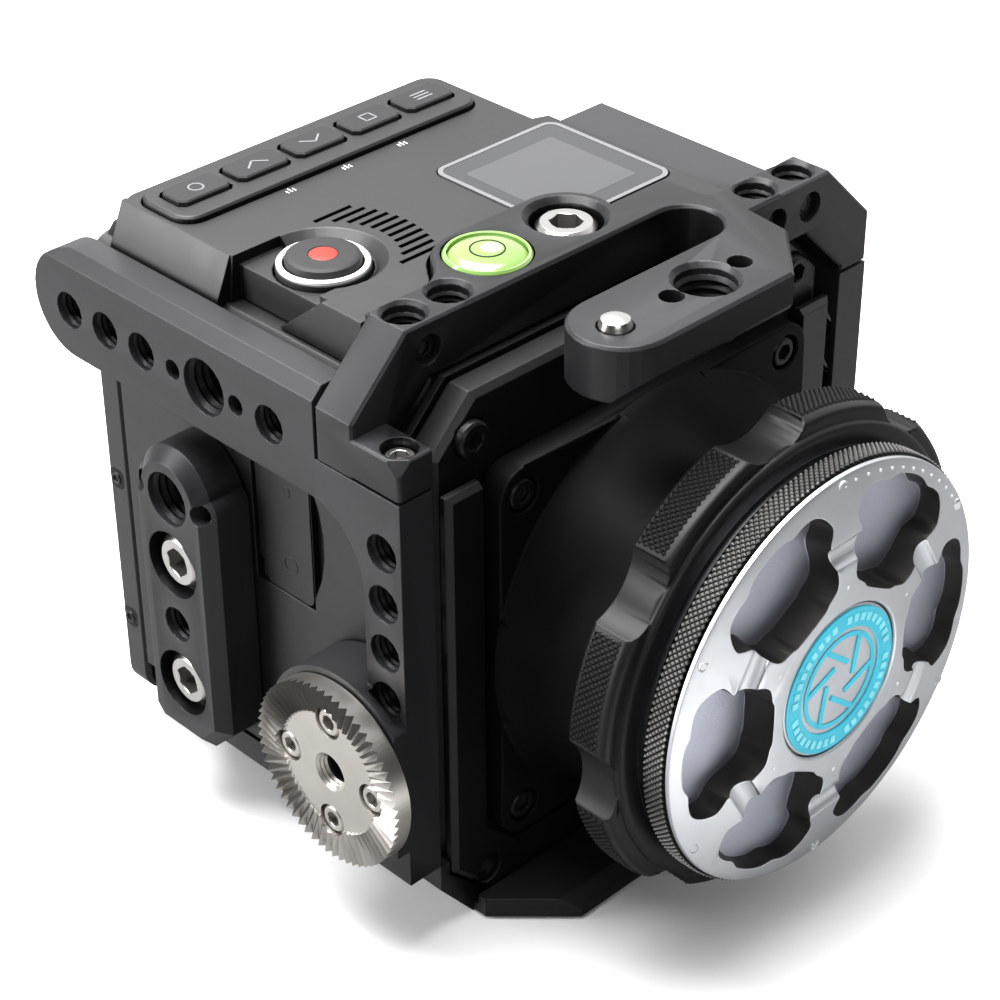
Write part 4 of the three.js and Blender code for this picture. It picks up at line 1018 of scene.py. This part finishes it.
def display():
    """The lit panel under the window, and a border that makes way for the top plate's lobe."""
    lo, hi = low("display_window"), high("display_window")
    z = hi.z
    panel = rounded(lo.x + 3, lo.y + 4, hi.x - 4.5, hi.y - 4.5, 0.6, 3)
    put(soften(prism("display_screen", "z", panel, z - 0.1, z + 0.02)), "chassis", "glass", material=SCREEN)
    outer = rounded(lo.x - 0.1, lo.y, hi.x + 0.1, hi.y + 0.1, 2.5, 8)
    border = prism("display_border", "z", outer, z - 0.2, z + 0.05)
    hole = prism("hole", "z", rounded(lo.x + 0.7, lo.y + 0.8, hi.x - 0.7, hi.y - 0.7, 1.8, 8), z - 1, z + 1)
    lobe = across("z", middle("top_fixing_screw"))
    carve(border, hole, rod("lobe", "z", lobe, z - 1, z + 1, 9.8, 48))
    put(soften(border), "chassis", "glass", material=BORDER)


# ---------------------------------------------------------------- details of the flanks and the back
def bow(start, pull, end, count=16):
    """Points on a curve that leaves its start towards a point and comes from there to its end."""
    start, pull, end = Vector(start), Vector(pull), Vector(end)
    shares = [i / count for i in range(count + 1)]
    return [tuple(start.lerp(pull, t).lerp(pull.lerp(end, t), t)) for t in shares]


def door_details():
    """The finger gap in front of the media door, drawn as a sheet of painted shade, and the door's hole and
    round mark.
    """
    gap = bow((28.2, 51.4), (22.8, 62.3), (28.2, 73))
    # A thin black sheet in the finger gap: painted shade.
    put(prism("finger_gap_shade", "x", gap, -FLANK + 1.2, -FLANK + 1.5), "chassis", "body_black", material=SHADE_AND_PRINT_BLACK)
    hole = lathe("door_hole", "x", (34, 68.7), [
        (0, -FLANK + 0.2),
        (0.55, -FLANK + 0.2),
        (0.6, -FLANK - 0.03),
        (0.95, -FLANK - 0.06),
        (1.0, -FLANK + 0.1),
        (1.0, -FLANK + 0.4),
        (0, -FLANK + 0.4),
    ], 32)
    put(soften(hole), "door", "body_black")
    ring = lathe("door_mark", "x", (33.8, 55), [
        (1.35, -FLANK + 0.2), (1.4, -FLANK - 0.06), (1.6, -FLANK - 0.06), (1.65, -FLANK + 0.2),
    ], 40)
    put(soften(ring), "door", "body_black")


def rear_flank_screws():
    """Two small screws in notches that open to the rear, each notch drawn as a black patch of painted shade.
    """
    for i, z in enumerate((50.7, 22.0)):
        # A thin black patch on the flank: painted shade in the notch.
        outline = rounded(REAR - 4.3, z - 1.9, REAR - 0.8, z + 1.9, 1.1, 5)
        notch = prism(f"rear_notch_shade_{i + 1}", "x", outline, -FLANK - 0.04, -FLANK + 0.3)
        put(notch, "chassis", "body_black", material=SHADE_AND_PRINT_BLACK)
        screw_head(f"rear_flank_screw_{i + 1}", "anodised", "x", (REAR - 2.4, z), -FLANK - 0.3, 1,
                   1.25, 0.5, 15 + 30 * i)


def rear_ports():
    """Sleeves and pins in the round sockets above the battery plate, and screws in the cover's corners."""
    z, bottom = 90, REAR - 2.9
    parts = []

    def pin(place, radius, tip, segments):
        parts.append(lathe("pin", "y", place, [
            (0, bottom - 0.05), (radius, bottom - 0.05), (radius, tip), (0, tip + 0.2),
        ], segments))

    for x in (14, 21, 28):
        parts.append(lathe("sleeve", "y", (x, z), [
            (1.5, bottom), (2.25, bottom), (2.25, REAR + 0.15), (2.1, REAR + 0.3), (1.75, REAR + 0.3),
            (1.5, REAR + 0.05),
        ], 32))
        pin((x, z), 0.4, REAR - 1, 16)
    parts.append(lathe("sleeve", "y", (-20, z), [
        (2.2, bottom), (2.95, bottom), (2.95, REAR + 0.3), (2.75, REAR + 0.5), (2.4, REAR + 0.5),
        (2.2, REAR + 0.25),
    ], 40))
    for i in range(5):
        pin(polar(-20, z, 1.3, 72 * i + 90), 0.28, REAR - 0.9, 12)
    put(soften(join("rear_ports", parts)), "chassis", "steel")
    for i, place in enumerate([(-41, 28), (41, 28), (-41, 75), (41, 75)]):
        screw_head(f"rear_corner_screw_{i + 1}", "anodised", "y", place, REAR - 0.5, -1, 1.7, 1.05, 25 * i)


def battery_contacts():
    """Gold blades in the two wells of the battery plate."""
    parts = []
    for well in (-10, 10):
        for i in range(5):
            x = well - 4.4 + 2.2 * i
            blade = rounded(x - 0.5, 62.5, x + 0.5, 71.5, 0.45, 4)
            parts.append(prism("blade", "y", blade, REAR - 1.45, REAR - 0.8))
    put(soften(join("battery_contacts", parts)), "chassis", "steel", material=GOLD)


def exhaust_grille():
    """Tilted slats and a middle bar in the body's exhaust opening."""
    y0, y1, z0, z1 = 62, 72, 20, 60
    outer, inner = FLANK - 0.3, FLANK - 2.0
    parts = []
    for z in range(z0 + 2, z1, 4):
        slat = [(outer, z + 1.0), (outer, z + 0.2), (inner, z - 1.2), (inner, z - 0.4)]
        parts.append(prism("slat", "y", slat, y0 - 0.1, y1 + 0.1))
    y = (y0 + y1) / 2
    bar = [(y - 0.5, z0 - 0.1), (y + 0.5, z0 - 0.1), (y + 0.5, z1 + 0.1), (y - 0.5, z1 + 0.1)]
    parts.append(prism("bar", "x", bar, FLANK - 2.2, FLANK - 0.9))
    put(soften(join("exhaust_grille", parts)), "chassis", "body_black")


def deck_heel():
    """The deck's left wall behind the record recess flares out to the body's edge."""
    outline = [(-41.0, 95.6), (-44.9, 95.6), (-44.9, 96.0), (-41.8, DECK - 0.1), (-41.0, DECK - 0.1)]
    put(soften(prism("deck_heel", "y", outline, 48.4, 74.9)), "chassis", "body_black")


def port_covers():
    """Rubber covers over the sockets in the body's right flank, in the cage's window."""
    y0, y1 = 14, 40
    for i, (z0, z1) in enumerate([(54, 72), (35, 51)]):
        cover = prism(f"port_cover_{i + 1}", "x", rounded(y0, z0, y1, z1, 2.2, 6), FLANK - 0.1, FLANK + 1.3)
        groove = rounded(y0 + 1.6, z0 + 1.6, y1 - 1.6, z1 - 1.6, 1.4, 6)
        inside = rounded(y0 + 2.3, z0 + 2.3, y1 - 2.3, z1 - 2.3, 1.0, 6)
        carve(cover, carve(
            prism("groove", "x", groove, FLANK + 0.95, FLANK + 2),
            prism("core", "x", inside, FLANK, FLANK + 3),
        ))
        grip = rounded(y0 + 2.8, z0 + 4, y0 + 4.6, z1 - 4, 0.8, 5)
        weld(cover, prism("lip", "x", grip, FLANK + 1, FLANK + 2.1))
        put(soften(cover), "chassis", "rubber")


# ---------------------------------------------------------------- stage
BACKDROP = (0.66, 0.46, 0.6)  # direction of the bright backdrop, behind the object and to its right
DIM, BRIGHT = 0.05, 1.2
FLOOR_BOUNCE = 0.29  # how pale the floor looks to the object
LIGHT_POOL, LIGHT_POOL_RADII, LIGHT_POOL_BOUNCE = (-8, -126, 0), (24, 84), 0.97  # a painted pool of light on the floor, seen only in reflections, which the cap mirrors as a highlight
FADE = (350, 800)  # how far from the object the floor turns white
LAMPS = [
    ("top_softbox", (-60, 160, 620), (0, 20, 60), (500, 500), 9),
    ("left_softbox", (-560, 420, 240), (0, 40, 50), (300, 420), 4),
    ("front_softbox", (-330, -560, 330), (0, 0, 50), (420, 300), 1.1),
]
CAMERA_PLACE = (-257.5, -230.8, 289.2)
CAMERA_ANGLES = (-44.3034, 33.3388, -0.353)  # azimuth, elevation and roll
FOCAL_LENGTH = 94.06


def grey(value):
    return (value, value, value, 1)


def floor():
    """A pale floor that turns white far away. The object sees it darker, with one painted pool of light."""
    far = 4000
    ground = prism("floor", "z", [(-far, -far), (far, -far), (far, far), (-far, far)], -2.0, -0.05)
    pale = bpy.data.materials.new("pale_floor")
    n = Nodes(pale)
    seen = n.add("ShaderNodeLightPath", "Is Camera Ray")
    from_light_pool = n.vector("DISTANCE", "Value", n.place, [c * MM for c in LIGHT_POOL])
    # Painted pool of light, seen only by rays coming from the object.
    light_pool = n.ramp(from_light_pool, LIGHT_POOL_RADII[1] * MM, LIGHT_POOL_RADII[0] * MM, curve="SMOOTHSTEP")
    bounce = n.mix(light_pool, grey(FLOOR_BOUNCE), grey(LIGHT_POOL_BOUNCE))
    away = n.ramp(n.vector("LENGTH", "Value", n.place), FADE[0] * MM, FADE[1] * MM, curve="SMOOTHSTEP")
    n.set(n.shader, {
        "Base Color": n.mix(seen, bounce, grey(0.9)),
        "Roughness": n.spread(n.noise(3), 0.5, 0.6),
        "Emission Color": grey(1),
        "Emission Strength": n.number("MULTIPLY", away, seen),
    })
    ground.data.materials.append(pale)


def studio():
    """A dim world with a bright side, white to the camera."""
    world = bpy.data.worlds.new("studio")
    bpy.context.scene.world = world
    n = Nodes(world, "Generated")
    toward = n.vector("DOT_PRODUCT", "Value", n.place, BACKDROP)
    glow = n.ramp(toward, 0, 0.82, DIM, BRIGHT, "SMOOTHSTEP")
    seen = n.add("ShaderNodeLightPath", "Is Camera Ray")
    strength = n.add("ShaderNodeMix", "Result", {"Factor": seen, "A": glow, "B": 1.0})
    n.set(n.tree.nodes["Background"], {"Color": grey(1), "Strength": strength})


def lamp(name, place, target, size, power):
    data = bpy.data.lights.new(name, "AREA")
    data.shape = "RECTANGLE"
    data.size, data.size_y = size[0] * MM, size[1] * MM
    data.energy = power
    obj = bpy.data.objects.new(name, data)
    obj.location = Vector(place) * MM
    obj.rotation_euler = (Vector(target) - Vector(place)).to_track_quat("-Z", "Y").to_euler()
    bpy.context.collection.objects.link(obj)


def camera():
    azimuth, elevation, roll = (math.radians(angle) for angle in CAMERA_ANGLES)
    back = Vector((
        math.sin(azimuth) * math.cos(elevation),
        -math.cos(azimuth) * math.cos(elevation),
        math.sin(elevation),
    ))
    right = Vector((math.cos(azimuth), math.sin(azimuth), 0))
    up = back.cross(right)
    turned_right = right * math.cos(roll) + up * math.sin(roll)
    turned_up = up * math.cos(roll) - right * math.sin(roll)
    data = bpy.data.cameras.new("camera")
    data.lens = FOCAL_LENGTH
    data.sensor_width = 36
    data.clip_start, data.clip_end = 0.01, 50
    obj = bpy.data.objects.new("camera", data)
    matrix = Matrix((turned_right, turned_up, back)).transposed().to_4x4()
    matrix.translation = Vector(CAMERA_PLACE) * MM
    obj.matrix_world = matrix
    bpy.context.collection.objects.link(obj)
    bpy.context.scene.camera = obj


dress_cad()
screws()
threads()
rosette()
lock_ring()
adapter()
body_cap()
keys()
record_control()
level()
display()
door_details()
rear_flank_screws()
rear_ports()
battery_contacts()
exhaust_grille()
deck_heel()
port_covers()
floor()
studio()
for entry in LAMPS:
    lamp(*entry)
camera()
bpy.context.scene.view_settings.view_transform = "Standard"
bpy.context.scene.view_settings.look = "Medium High Contrast"

bpy.context.view_layer.update()
